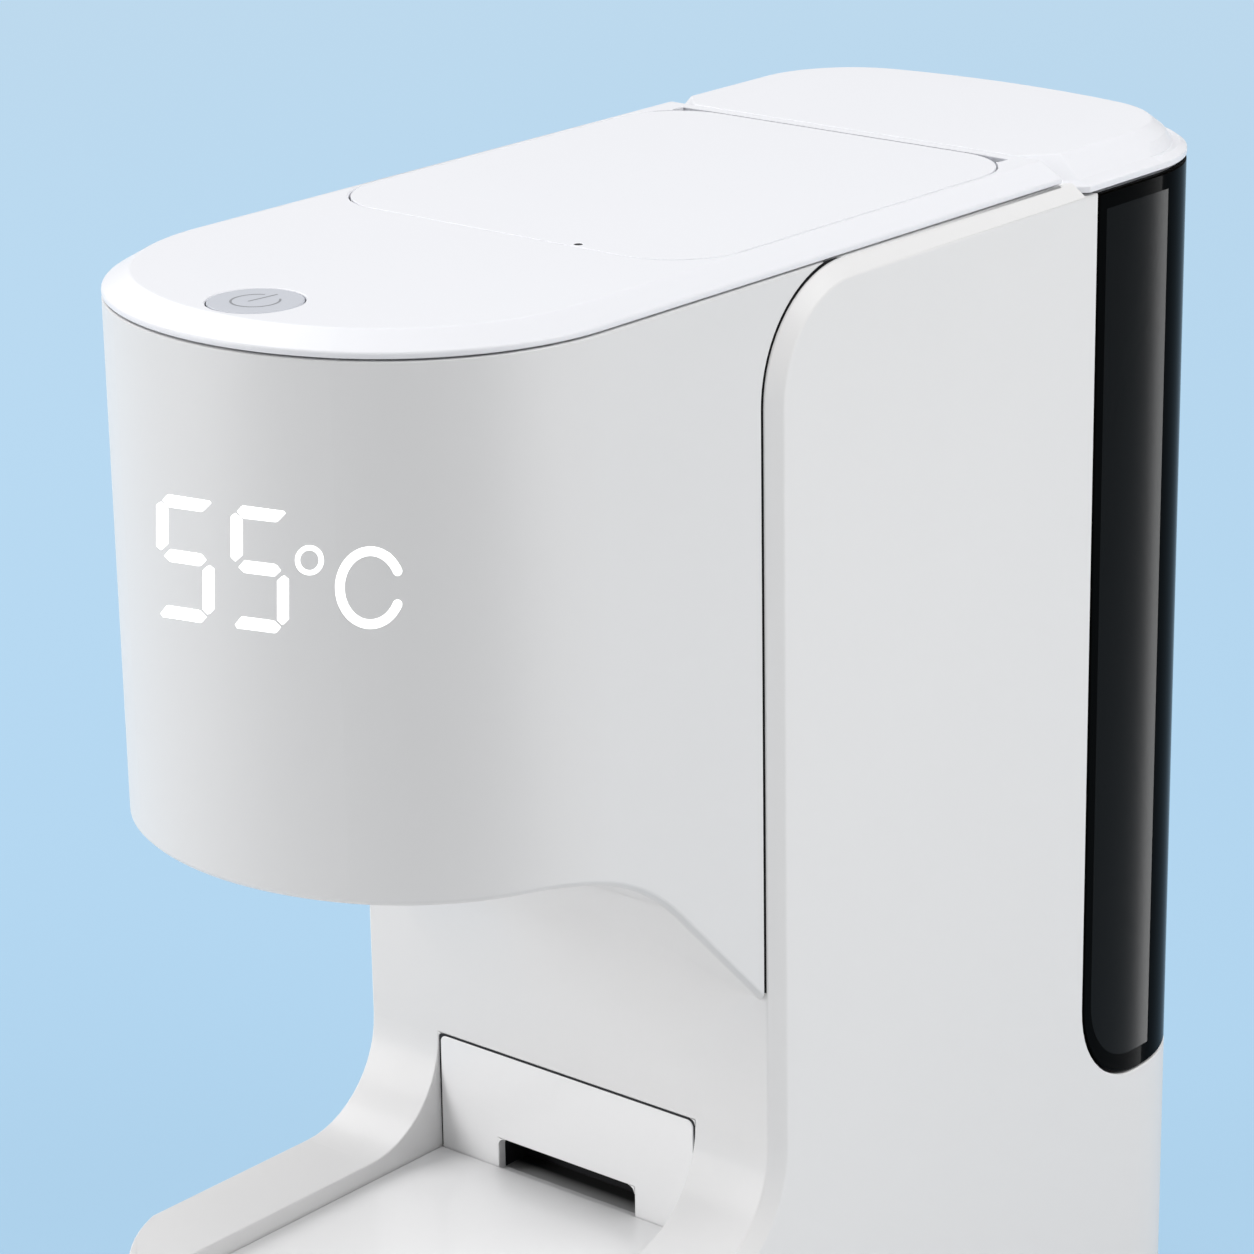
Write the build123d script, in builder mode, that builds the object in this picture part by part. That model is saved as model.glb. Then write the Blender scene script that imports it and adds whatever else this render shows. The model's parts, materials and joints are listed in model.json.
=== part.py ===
"""Formula water dispenser: an L-shaped body with a rounded head over the bottle space.

Millimetres, +Z up. The front faces -Y. The origin is on the surface that the feet stand on,
under the middle of the outline.
"""
import os
from math import asin, cos, pi, radians, sin, sqrt

from build123d import *

# Overall sizes
total_height = 368.0
body_half = 73.0
head_step = 3.0
base_nose_y = -171.0
head_nose_y = -165.0
back_y = 171.0

# Walls and clearances
wall = 2.5
flange_wall = 4.0
seam = 0.8
cover_seam = 0.5
slide_gap = 0.3
lid_gap = 0.5
button_gap = 0.3
seat_gap = 0.3
run_gap = 0.05

# Plan curves: a wide arc across each end and a tighter arc at each corner
head_nose_r = 80.0
head_corner_r = 62.0
base_nose_r = 90.0
base_corner_r = 55.0
back_r = 220.0
back_corner_r = 40.0

# Side outline of the body
column_y = -41.5
arm_top_z = 103.0
swoop_r = 28.0
shoulder_r = 32.0
side_bevel = 4.5
feet_height = 3.0
plate_thickness = 2.5

# Head
head_height = 140.0
tail_start_y = -126.0
tail_bend_r = 70.0
tail_drop = 56.0
floor_recess = 2.0

# Top cover, its bevel, and the tank's cap
cover_lip = 1.5
cover_bevel_height = 4.0
cover_bevel_inset = 7.0
cap_split_y = 85.0
cap_lip = 1.8
cap_ledge_height = 2.7
cap_ledge_inset = 4.0
cap_facet_inset = 10.0
cap_corner_x = 8.0
cap_corner_y = 8.5
cap_height = 9.2

# Hatch lid in the top cover
lid_front_y = -59.3
lid_back_margin = 4.5
lid_side_margin = 8.5
lid_corner_r = 20.0
lid_thickness = 3.0
ledge_width = 7.0
ledge_drop = 4.6
skirt_drop = 7.4
skirt_wall = 1.6
seal_width = 3.0
seal_margin = 2.0
hinge_drop = 2.0
hinge_pin_r = 0.6
hinge_pin_margin = 3.0
hinge_cut_margin = 2.0
hinge_ear_r = 1.2
hinge_ear_x = 33.0
hinge_ear_width = 6.0
vent_hole_x = 25.0
vent_hole_y = -57.0
vent_hole_r = 1.1

# Power button, its switch and board
button_y = -144.2
button_r = 11.9
button_top = 2.8
button_flange = 1.1
button_flange_height = 2.0
button_travel = 1.2
cover_deck = 2.5
cover_rim = 6.0
cover_pocket_y = -70.0
stem_r = 2.5
switch_side = 6.0
switch_height = 3.5
switch_plunger_r = 1.6
switch_plunger_height = 1.4
control_board_drop = 16.0
control_board_half = 22.0
control_board_length = 32.0
control_board_y = -138.0
board_thickness = 1.6
standoff_r = 2.5

# Display behind the head shell
display_drop = 34.0
display_height = 50.0
display_left_x = -26.0
display_side_margin = 16.0
display_board_y = -134.0
display_margin = 5.0
display_rib = 2.5
display_cells = 3

# Filter well under the lid, and its cartridge
well_half = 50.0
well_front_y = -5.0
well_back_y = 72.0
well_drop = 78.0
well_corner_r = 10.0
well_wall = 2.0
well_flange_reach = 10.0
deck_opening_half = 55.5
deck_opening_front_y = -22.0
deck_opening_back_y = 75.0
cartridge_r = 22.0
cartridge_height = 46.0
cartridge_x = 22.0
cartridge_knob_r = 7.0
cartridge_knob_height = 12.0

# Water tank in the rear bay, its cap and the cap's seal
tank_front_y = 98.0
tank_bottom_z = 95.0
tank_corner_r = 28.0
tank_wall = 2.2
bay_gap = 0.5
cap_gap = 1.2
cap_plug_wall = 2.0
cap_plug_depth = 8.0
plug_corner = 0.6
cap_seal_height = 3.0
cap_seal_width = 1.2
cap_pocket_inset = 13.0
cap_deck = 2.5

# Valve in the tank's floor and its socket in the body
valve_r = 11.0
valve_flange_r = 14.0
valve_flange_height = 2.0
valve_bore_r = 6.0
valve_seat_z = 102.0
valve_seat_height = 3.0
valve_seat_r = 3.0
valve_cage_r = 8.5
valve_cage_top_z = 118.0
valve_window = 6.0
stem_rod_r = 1.6
stem_head_r = 5.0
stem_head_height = 2.0
stem_lift = 1.5
spring_r = 3.2
spring_wall = 0.8
socket_r = 14.0
socket_flange_r = 17.0
socket_flange_height = 3.0
nipple_r = 4.0
nipple_top_z = 101.0
socket_seal_r = 5.5
socket_seal_height = 1.5

# Hoses and their spigots
hose_bore_r = 3.0
hose_r = 4.5
hose_bend_r = 14.0
spigot_bore_r = 1.8
spigot_length = 12.0
hose_run_drop = 100.0
hose_window_half = 26.0
hose_window_height = 26.0

# Pump and heater with their carriers
pump_r = 16.0
pump_front_y = 50.0
pump_back_y = 98.0
pump_z = 28.0
motor_r = 13.0
motor_length = 22.0
saddle_width = 8.0
saddle_half = 18.0
heater_y = 66.0
heater_r = 20.0
heater_wall = 1.2
heater_low_z = 114.0
heater_drop = 34.0
heater_cap_height = 8.0
heater_cap_overlap = 1.5
clamp_width = 10.0
clamp_wall = 2.4
clamp_arm_half = 6.0
clamp_reach = 29.0
frame_thickness = 2.5
frame_half = 60.0
frame_low_z = 84.0
frame_rise = 12.0
frame_leg_width = 16.0
frame_window_half = 22.0
sensor_r = 2.0
sensor_x = 11.0
sensor_length = 16.0

# Power board on the left wall
power_board_margin = 15.0
power_board_y = 24.0
power_board_z = 168.0
power_board_length = 70.0
power_board_height = 100.0
power_board_boss_r = 3.0
transformer_side = 24.0
capacitor_r = 6.0
capacitor_height = 20.0

# Outlet nozzle, over the drain slots of the tray
nozzle_y = -126.0
nozzle_r = 8.0
nozzle_drop = 8.0
nozzle_rise = 14.0
nozzle_flange_r = 11.0
nozzle_bore_r = 2.5
nozzle_pad_r = 18.0
nozzle_pad_drop = 3.0
collar_r = 16.0
collar_height = 3.5
floor_thickness = 2.5

# Drip tray, its plate and the upright panel
arm_width = 27.5
tray_floor_z = 72.0
tray_wall = 2.2
plate_top_z = 98.0
plate_deck = 2.5
plate_skirt = 3.0
plate_skirt_wall = 1.6
panel_top_z = 132.0
panel_thickness = 3.0
panel_corner_r = 2.0
notch_half = 24.3
notch_top_z = 106.5
notch_margin = 2.0
notch_sill = 1.0
notch_depth = 11.0
drain_slot_width = 3.0
drain_slot_pitch = 8.0
drain_slots = 5
drain_slot_first_y = -110.0
drain_slot_half = 24.0

# Power inlet, base plate, feet and screws
inlet_x = 34.0
inlet_z = 26.0
inlet_width = 23.0
inlet_height = 14.0
inlet_depth = 18.0
inlet_recess = 9.0
inlet_pin_r = 1.2
inlet_pin_pitch = 8.6
foot_r = 9.0
foot_x = 48.0
foot_front_y = -118.0
foot_back_y = 128.0
boss_r = 4.5
boss_front_x = 38.0
boss_front_y = -132.0
boss_middle_y = -58.0
boss_back_x = 52.0
boss_back_y = 146.0
screw_r = 1.5
screw_head_r = 3.0
screw_head_height = 1.6
screw_length = 16.0

# Heights and places that follow from the sizes above
head_half = body_half - head_step
tray_half = body_half - arm_width
display_right_x = head_half - display_side_margin
power_board_x = power_board_margin - body_half
base_low_z = feet_height
plate_in_z = base_low_z + plate_thickness
cover_low_z = total_height - cover_lip - cover_bevel_height
housing_top_z = cover_low_z - cover_seam
deck_low_z = housing_top_z - wall
cavity_half = body_half - flange_wall
cap_low_z = total_height - cap_height
cap_front_y = cap_split_y + slide_gap
tank_top_z = cap_low_z - cap_gap
strip_top_z = cap_low_z - seam
strip_front_y = cap_split_y - seam
bay_wall_y = tank_front_y - bay_gap - wall
bay_floor_z = tank_bottom_z - bay_gap
head_bottom_z = total_height - head_height
tail_tip_z = head_bottom_z - tail_drop
control_board_z = total_height - control_board_drop
display_high_z = total_height - display_drop
display_low_z = display_high_z - display_height
well_floor_z = total_height - well_drop
ledge_top_z = total_height - ledge_drop
skirt_low_z = total_height - skirt_drop
lid_half = head_half - lid_side_margin
lid_back_y = cap_split_y - lid_back_margin
lid_low_z = total_height - lid_thickness
lid_middle_y = (lid_front_y + lid_back_y) / 2
lid_length = lid_back_y - lid_front_y
hinge_y = lid_back_y - hinge_drop
hinge_z = total_height - hinge_drop
hinge_sweep_r = hinge_drop * sqrt(2) + slide_gap
hinge_rib_half = lid_half - lid_corner_r - lid_gap
hinge_pin_half = hinge_rib_half - hinge_pin_margin
lid_corner_drop = lid_corner_r - 2 * hinge_drop
hinge_line_half = lid_half - lid_corner_r + sqrt(lid_corner_r ** 2 - lid_corner_drop ** 2)
hose_run_z = total_height - hose_run_drop
heater_high_z = hose_run_z - heater_drop
clamp_z = (heater_low_z + clamp_reach, heater_high_z - clamp_reach)
frame_high_z = hose_run_z + frame_rise
nozzle_low_z = head_bottom_z - nozzle_drop
nozzle_high_z = head_bottom_z + nozzle_rise
valve_y = (tank_front_y + tank_corner_r + back_y - tank_wall) / 2
floor_low_z = head_bottom_z + floor_recess
floor_high_z = floor_low_z + floor_thickness
pad_low_z = floor_low_z - nozzle_pad_drop
plate_low_z = plate_top_z - plate_deck
tray_floor_top_z = tray_floor_z + seat_gap + tray_wall
screw_places = ((boss_front_x, boss_front_y), (boss_front_x, boss_middle_y), (boss_back_x, boss_back_y))
panel_front_y = column_y
panel_back_y = column_y + panel_thickness
pocket_back_y = panel_back_y + slide_gap
beyond = 20.0

os.makedirs("parts", exist_ok=True)


def save(part, name):
    """Label a finished piece and write it to its own file."""
    part.label = name
    export_step(part, f"parts/{name}.step")


def end_arcs(half, reach_y, wide_r, corner_r, way):
    """Draw one curved end, from the right side to the left. way is -1 at the front, 1 at the back."""
    turn = asin((half - corner_r) / (wide_r - corner_r))
    corner_y = reach_y - way * (wide_r - (wide_r - corner_r) * cos(turn))
    middle = (pi / 2 - turn) / 2
    join_x = wide_r * sin(turn)
    join_y = reach_y - way * wide_r * (1 - cos(turn))
    bulge_x = half - corner_r + corner_r * cos(middle)
    bulge_y = corner_y + way * corner_r * sin(middle)
    ThreePointArc((half, corner_y), (bulge_x, bulge_y), (join_x, join_y))
    ThreePointArc((join_x, join_y), (0, reach_y), (-join_x, join_y))
    ThreePointArc((-join_x, join_y), (-bulge_x, bulge_y), (-half, corner_y))
    return corner_y


def nose_face(half, nose_y, wide_r, corner_r, rear_y):
    """Plan of a piece with a curved front and a straight rear edge."""
    with BuildLine() as outline:
        side_y = end_arcs(half, nose_y, wide_r, corner_r, -1)
        Polyline((half, side_y), (half, rear_y), (-half, rear_y), (-half, side_y))
    make_face(outline.edges())


def head_face(inset, rear_y):
    """Plan of the head, drawn in by an inset."""
    nose_face(head_half - inset, head_nose_y + inset, head_nose_r - inset, head_corner_r - inset, rear_y)


def base_face(inset, rear_y):
    """Plan of the base's front part, drawn in by an inset."""
    nose_face(body_half - inset, base_nose_y + inset, base_nose_r - inset, base_corner_r - inset, rear_y)


def body_face(inset):
    """Whole plan of the body: the base's curved front and the rounded back."""
    with BuildLine() as outline:
        half = body_half - inset
        front_y = end_arcs(half, base_nose_y + inset, base_nose_r - inset, base_corner_r - inset, -1)
        rear_y = end_arcs(half, back_y - inset, back_r - inset, back_corner_r - inset, 1)
        Line((half, front_y), (half, rear_y))
        Line((-half, front_y), (-half, rear_y))
    make_face(outline.edges())


def back_face(inset, front_y, corner_x, corner_y):
    """Plan of a piece at the rear: a straight front edge with cut corners, and the rounded back."""
    half = body_half - inset
    with BuildLine() as outline:
        side_y = end_arcs(half, back_y - inset, back_r - inset, back_corner_r - inset, 1)
        Polyline(
            (-half, side_y),
            (-half, front_y + corner_y),
            (corner_x - half, front_y),
            (half - corner_x, front_y),
            (half, front_y + corner_y),
            (half, side_y),
        )
    make_face(outline.edges())


def side_face(inset):
    """Side outline of the body: base, arm, swoop up the column, shoulder and top."""
    front = base_nose_y - beyond
    rear = back_y + beyond
    face_y = column_y + inset
    arm_z = arm_top_z - inset
    top_z = housing_top_z - inset
    bend_r = swoop_r + inset
    turn_r = shoulder_r - inset
    half_turn = sin(radians(45))
    with BuildLine() as outline:
        Polyline((face_y - bend_r, arm_z), (front, arm_z), (front, -beyond), (rear, -beyond))
        Polyline((rear, -beyond), (rear, top_z), (face_y + turn_r, top_z))
        ThreePointArc(
            (face_y + turn_r, top_z),
            (face_y + turn_r * (1 - half_turn), top_z - turn_r * (1 - half_turn)),
            (face_y, top_z - turn_r),
        )
        Line((face_y, top_z - turn_r), (face_y, arm_z + bend_r))
        ThreePointArc(
            (face_y, arm_z + bend_r),
            (face_y - bend_r * (1 - half_turn), arm_z + bend_r * (1 - half_turn)),
            (face_y - bend_r, arm_z),
        )
    make_face(outline.edges())


def tank_face(outset):
    """Side outline of the tank, grown by an outset: straight front, one round lower corner."""
    front = tank_front_y - outset
    low = tank_bottom_z - outset
    with BuildLine() as outline:
        TangentArc((front + tank_corner_r, low), (front, low + tank_corner_r), tangent=(-1, 0))
        Polyline(
            (front, low + tank_corner_r),
            (front, total_height + beyond),
            (back_y + beyond, total_height + beyond),
            (back_y + beyond, low),
            (front + tank_corner_r, low),
        )
    make_face(outline.edges())


def underside_face(rise):
    """Side outline of what lies over the head's lower edge, raised by a rise along the whole curve."""
    low = head_bottom_z + rise
    bend = tail_bend_r - rise
    slope = tail_angle()
    start_y = tail_start_y
    bend_y = start_y + bend * sin(slope)
    bend_z = low - bend * (1 - cos(slope))
    middle_y = start_y + bend * sin(slope / 2)
    middle_z = low - bend * (1 - cos(slope / 2))
    reach_y = beyond
    with BuildLine() as outline:
        Line((head_nose_y - beyond, low), (start_y, low))
        ThreePointArc((start_y, low), (middle_y, middle_z), (bend_y, bend_z))
        end_z = bend_z - (reach_y - bend_y) * sin(slope) / cos(slope)
        Polyline(
            (bend_y, bend_z),
            (reach_y, end_z),
            (reach_y, total_height + beyond),
            (head_nose_y - beyond, total_height + beyond),
            (head_nose_y - beyond, low),
        )
    make_face(outline.edges())


def tail_angle():
    """Slope of the tail's straight part, from the bend down to the tip at the column."""
    reach = column_y - tail_start_y
    drop = head_bottom_z - tail_tip_z
    low, high = 0.1, 1.4
    for _ in range(40):
        slope = (low + high) / 2
        run = reach - tail_bend_r * sin(slope)
        fall = tail_bend_r * (1 - cos(slope)) + run * sin(slope) / cos(slope)
        if fall > drop:
            high = slope
        else:
            low = slope
    return slope


def ring(outer_r, inner_r):
    """Ring section, or a disc where the inner radius is zero."""
    Circle(outer_r)
    if inner_r > 0:
        Circle(inner_r, mode=Mode.SUBTRACT)


def upright_ring(x, y, low, height, outer_r, inner_r=0.0):
    """Add an upright tube, or a rod where no bore is given."""
    with BuildSketch(Plane.XY.offset(low)) as section:
        with Locations((x, y)):
            ring(outer_r, inner_r)
    extrude(section.sketch, amount=height)


def upright_cut(x, y, low, height, radius):
    """Cut an upright round hole."""
    with BuildSketch(Plane.XY.offset(low)) as section:
        with Locations((x, y)):
            Circle(radius)
    extrude(section.sketch, amount=height, mode=Mode.SUBTRACT)


def block(x_range, y_range, z_range, mode=Mode.ADD):
    """Add or cut a straight block between three pairs of limits."""
    with BuildSketch(Plane.XY.offset(z_range[0])) as section:
        with Locations(((x_range[0] + x_range[1]) / 2, (y_range[0] + y_range[1]) / 2)):
            Rectangle(x_range[1] - x_range[0], y_range[1] - y_range[0])
    extrude(section.sketch, amount=z_range[1] - z_range[0], mode=mode)


def lid_slab(inset, low, height, mode=Mode.ADD):
    """Add or cut a slab with the lid's rounded outline, drawn in by an inset."""
    with BuildSketch(Plane.XY.offset(low)) as section:
        with Locations((0, lid_middle_y)):
            RectangleRounded(2 * (lid_half - inset), lid_length - 2 * inset, lid_corner_r - inset)
    extrude(section.sketch, amount=height, mode=mode)


# Main housing: sides, column, arms and rear, one moulding
with BuildPart() as cavity:
    with BuildSketch(Plane.YZ):
        side_face(wall)
    extrude(amount=cavity_half, both=True)
    with BuildSketch(Plane.XY):
        body_face(flange_wall)
    extrude(amount=housing_top_z, mode=Mode.INTERSECT)
    recess_half = tray_half + wall
    block(
        (-recess_half, recess_half),
        (base_nose_y - beyond, pocket_back_y + wall),
        (tray_floor_z - wall, panel_top_z + slide_gap + wall),
        Mode.SUBTRACT,
    )
    finger_half = notch_half + notch_margin
    block(
        (-finger_half - wall, finger_half + wall),
        (column_y, pocket_back_y + notch_depth + wall),
        (plate_low_z - wall, notch_top_z + notch_margin + wall),
        Mode.SUBTRACT,
    )
    body_span = (-body_half, body_half)
    block(body_span, (strip_front_y - wall, back_y), (strip_top_z - wall, total_height), Mode.SUBTRACT)
    with BuildSketch(Plane.YZ):
        tank_face(bay_gap + wall)
    extrude(amount=body_half, both=True, mode=Mode.SUBTRACT)
    # Bosses for the screws of the base plate
    for side in (1, -1):
        for boss_y in (boss_front_y, boss_middle_y):
            upright_cut(side * boss_front_x, boss_y, plate_in_z, tray_floor_z - plate_in_z, boss_r)
        upright_cut(side * boss_back_x, boss_back_y, plate_in_z, bay_floor_z - plate_in_z, boss_r)
    # Bosses for the power board
    board_face_x = power_board_x - board_thickness
    for boss_y in (-1, 1):
        for boss_z in (-1, 1):
            with BuildSketch(Plane.YZ.offset(-body_half)):
                place_y = power_board_y + boss_y * (power_board_length / 2 - 2 * power_board_boss_r)
                place_z = power_board_z + boss_z * (power_board_height / 2 - 2 * power_board_boss_r)
                with Locations((place_y, place_z)):
                    Circle(power_board_boss_r)
            extrude(amount=body_half + board_face_x, mode=Mode.SUBTRACT)

with BuildPart() as main_housing:
    with BuildSketch(Plane.YZ):
        side_face(0)
    extrude(amount=head_half, both=True)
    for side in (1, -1):
        with BuildSketch(Plane.YZ.offset(side * head_half)):
            side_face(0)
        with BuildSketch(Plane.YZ.offset(side * body_half)):
            side_face(side_bevel)
        loft(ruled=True)
    with BuildSketch(Plane.XY.offset(base_low_z)):
        body_face(0)
    extrude(amount=housing_top_z - base_low_z, mode=Mode.INTERSECT)
    add(cavity.part, mode=Mode.SUBTRACT)
    # Bay for the tank, open at the top, the sides and the back
    with BuildSketch(Plane.YZ):
        tank_face(bay_gap)
    extrude(amount=body_half + beyond, both=True, mode=Mode.SUBTRACT)
    # Strip under the front of the tank's cap
    block(body_span, (strip_front_y, back_y), (strip_top_z, total_height), Mode.SUBTRACT)
    # Space for the drip tray between the arms, the pocket for its panel and the finger space
    tray_span = (-tray_half, tray_half)
    block(tray_span, (base_nose_y - beyond, column_y), (tray_floor_z, total_height), Mode.SUBTRACT)
    block(tray_span, (column_y, pocket_back_y), (tray_floor_z, panel_top_z + slide_gap), Mode.SUBTRACT)
    block(
        (-finger_half, finger_half),
        (pocket_back_y, pocket_back_y + notch_depth),
        (plate_low_z, notch_top_z + notch_margin),
        Mode.SUBTRACT,
    )
    # Opening over the filter well, through the top deck and the shoulder
    opening_span = (-deck_opening_half, deck_opening_half)
    opening_reach = (deck_opening_front_y, deck_opening_back_y)
    block(opening_span, opening_reach, (well_floor_z, total_height), Mode.SUBTRACT)
    # Window for the outlet hose and the leads to the head
    window_low_z = hose_run_z - hose_window_height / 2
    block(
        (-hose_window_half, hose_window_half),
        (column_y - seam, column_y + 2 * wall),
        (window_low_z, window_low_z + hose_window_height),
        Mode.SUBTRACT,
    )
    # Hole for the tank's socket
    upright_cut(0, valve_y, bay_floor_z - 2 * wall, 3 * wall, socket_r + run_gap)
    # Hole for the power inlet
    inlet_span = (inlet_x - inlet_width / 2 - run_gap, inlet_x + inlet_width / 2 + run_gap)
    inlet_rise = (inlet_z - inlet_height / 2 - run_gap, inlet_z + inlet_height / 2 + run_gap)
    block(inlet_span, (back_y - inlet_depth, back_y + seam), inlet_rise, Mode.SUBTRACT)
    # Pilot holes in the screw bosses
    for side in (1, -1):
        for place in screw_places:
            upright_cut(side * place[0], place[1], base_low_z, screw_length, screw_r + run_gap)
save(main_housing.part, "main_housing")

# Base plate with the screws' counterbores
with BuildPart() as base_plate:
    with BuildSketch(Plane.XY.offset(base_low_z)):
        body_face(flange_wall + slide_gap)
    extrude(amount=plate_thickness)
    for side in (1, -1):
        for place in screw_places:
            upright_cut(side * place[0], place[1], base_low_z, plate_thickness, screw_r + run_gap)
            upright_cut(side * place[0], place[1], base_low_z, screw_head_height, screw_head_r + run_gap)
save(base_plate.part, "base_plate")

with BuildPart() as base_screws:
    for side in (1, -1):
        for place in screw_places:
            upright_ring(side * place[0], place[1], base_low_z, screw_head_height, screw_head_r)
            upright_ring(side * place[0], place[1], base_low_z, screw_length - slide_gap, screw_r)
save(base_screws.part, "base_screws")

with BuildPart() as rubber_feet:
    for side in (1, -1):
        for foot_y in (foot_front_y, foot_back_y):
            upright_ring(side * foot_x, foot_y, 0, feet_height, foot_r)
    chamfer(rubber_feet.faces().sort_by(Axis.Z)[:4].edges(), length=0.6)
save(rubber_feet.part, "rubber_feet")

# Head shell: a wall around the nose with a tail along each side of the column
with BuildPart() as head_shell:
    shell_rear_y = column_y + shoulder_r
    with BuildSketch(Plane.XY.offset(tail_tip_z - beyond)):
        head_face(0, shell_rear_y)
    extrude(amount=housing_top_z - tail_tip_z + beyond)
    with BuildSketch(Plane.XY.offset(tail_tip_z - beyond)):
        head_face(wall, shell_rear_y + beyond)
    extrude(amount=total_height, mode=Mode.SUBTRACT)
    with BuildSketch(Plane.YZ):
        underside_face(0)
    extrude(amount=body_half, both=True, mode=Mode.INTERSECT)
    with BuildSketch(Plane.YZ):
        side_face(-seam)
    extrude(amount=body_half, both=True, mode=Mode.SUBTRACT)
save(head_shell.part, "head_shell")

# Head floor: the curved panel under the head, from the nose down to the column
with BuildPart() as head_floor:
    with BuildSketch(Plane.XY.offset(tail_tip_z - beyond)):
        head_face(wall + slide_gap, column_y)
    extrude(amount=total_height)
    with BuildSketch(Plane.YZ):
        underside_face(floor_recess)
    extrude(amount=body_half, both=True, mode=Mode.INTERSECT)
    with BuildSketch(Plane.YZ):
        underside_face(floor_recess + floor_thickness)
    extrude(amount=body_half, both=True, mode=Mode.SUBTRACT)
    upright_ring(0, nozzle_y, pad_low_z, floor_high_z - pad_low_z, nozzle_pad_r)
    upright_cut(0, nozzle_y, pad_low_z, floor_high_z - pad_low_z, nozzle_r + run_gap)
save(head_floor.part, "head_floor")

# Top cover: lip, bevel and flat top, with the frame of the hatch and the button's hole
with BuildPart() as top_cover:
    with BuildSketch(Plane.XY.offset(cover_low_z)):
        head_face(0, cap_split_y)
    extrude(amount=cover_lip)
    with BuildSketch(Plane.XY.offset(cover_low_z + cover_lip)):
        head_face(0, cap_split_y)
    with BuildSketch(Plane.XY.offset(total_height)):
        head_face(cover_bevel_inset, cap_split_y)
    loft(ruled=True)
    with BuildSketch(Plane.XY.offset(cover_low_z)):
        head_face(cover_rim, cover_pocket_y)
    extrude(amount=total_height - cover_deck - cover_low_z, mode=Mode.SUBTRACT)
    lid_slab(ledge_width, cover_low_z, cover_lip + cover_bevel_height, Mode.SUBTRACT)
    lid_slab(-lid_gap, ledge_top_z, total_height - ledge_top_z, Mode.SUBTRACT)
    with BuildSketch(Plane.YZ):
        with Locations((hinge_y, hinge_z)):
            Circle(hinge_sweep_r)
    extrude(amount=hinge_line_half + hinge_cut_margin, both=True, mode=Mode.SUBTRACT)
    for side in (1, -1):
        with BuildSketch(Plane.YZ.offset(side * hinge_ear_x)):
            with Locations((hinge_y, hinge_z)):
                Circle(hinge_ear_r)
            with Locations((hinge_y - hinge_ear_r / 2, (hinge_z + cover_low_z) / 2)):
                Rectangle(hinge_ear_r, hinge_z - cover_low_z)
            with Locations((hinge_y, hinge_z)):
                Circle(hinge_pin_r + run_gap, mode=Mode.SUBTRACT)
        extrude(amount=hinge_ear_width / 2, both=True)
    upright_cut(0, button_y, cover_low_z, 2 * beyond, button_r)
    for side in (1, -1):
        standoff_x = side * (control_board_half - 2 * standoff_r)
        standoff_low_z = control_board_z + board_thickness
        standoff_rise = total_height - cover_deck - standoff_low_z
        upright_ring(standoff_x, control_board_y, standoff_low_z, standoff_rise, standoff_r)
save(top_cover.part, "top_cover")

# Power button: a disc over a wider flange, and a stem down to the switch
with BuildPart() as power_button:
    flange_top_z = total_height - cover_deck - slide_gap
    plunger_top_z = control_board_z + board_thickness + switch_height + switch_plunger_height
    stem_low_z = plunger_top_z + button_travel + run_gap
    upright_ring(0, button_y, flange_top_z, button_top, button_r - button_gap)
    flange_low_z = flange_top_z - button_flange_height
    upright_ring(0, button_y, flange_low_z, button_flange_height, button_r + button_flange)
    upright_ring(0, button_y, stem_low_z, flange_top_z - stem_low_z, stem_r)
save(power_button.part, "power_button")

with BuildPart() as button_switch:
    switch_low_z = control_board_z + board_thickness
    half_switch = switch_side / 2
    block(
        (-half_switch, half_switch),
        (button_y - half_switch, button_y + half_switch),
        (switch_low_z, switch_low_z + switch_height),
    )
    upright_ring(0, button_y, switch_low_z + switch_height, switch_plunger_height, switch_plunger_r)
save(button_switch.part, "button_switch")

with BuildPart() as control_board:
    block(
        (-control_board_half, control_board_half),
        (control_board_y - control_board_length / 2, control_board_y + control_board_length / 2),
        (control_board_z, control_board_z + board_thickness),
    )
save(control_board.part, "control_board")

# Display: the light box between the board and the shell, one cell for each group of figures
with BuildPart() as display_mask:
    with BuildSketch(Plane.XY.offset(display_low_z)):
        head_face(wall + slide_gap, column_y)
    extrude(amount=display_high_z - display_low_z)
    block(
        (display_left_x, display_right_x),
        (head_nose_y, display_board_y),
        (display_low_z, display_high_z),
        Mode.INTERSECT,
    )
    cells_width = display_right_x - display_left_x - 2 * display_margin
    cell_pitch = (cells_width + display_rib) / display_cells
    for cell in range(display_cells):
        cell_x = display_left_x + display_margin + cell * cell_pitch
        block(
            (cell_x, cell_x + cell_pitch - display_rib),
            (head_nose_y, display_board_y),
            (display_low_z + display_margin, display_high_z - display_margin),
            Mode.SUBTRACT,
        )
save(display_mask.part, "display_mask")

with BuildPart() as display_board:
    block(
        (display_left_x, display_right_x),
        (display_board_y, display_board_y + board_thickness),
        (display_low_z, display_high_z),
    )
save(display_board.part, "display_board")

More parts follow.
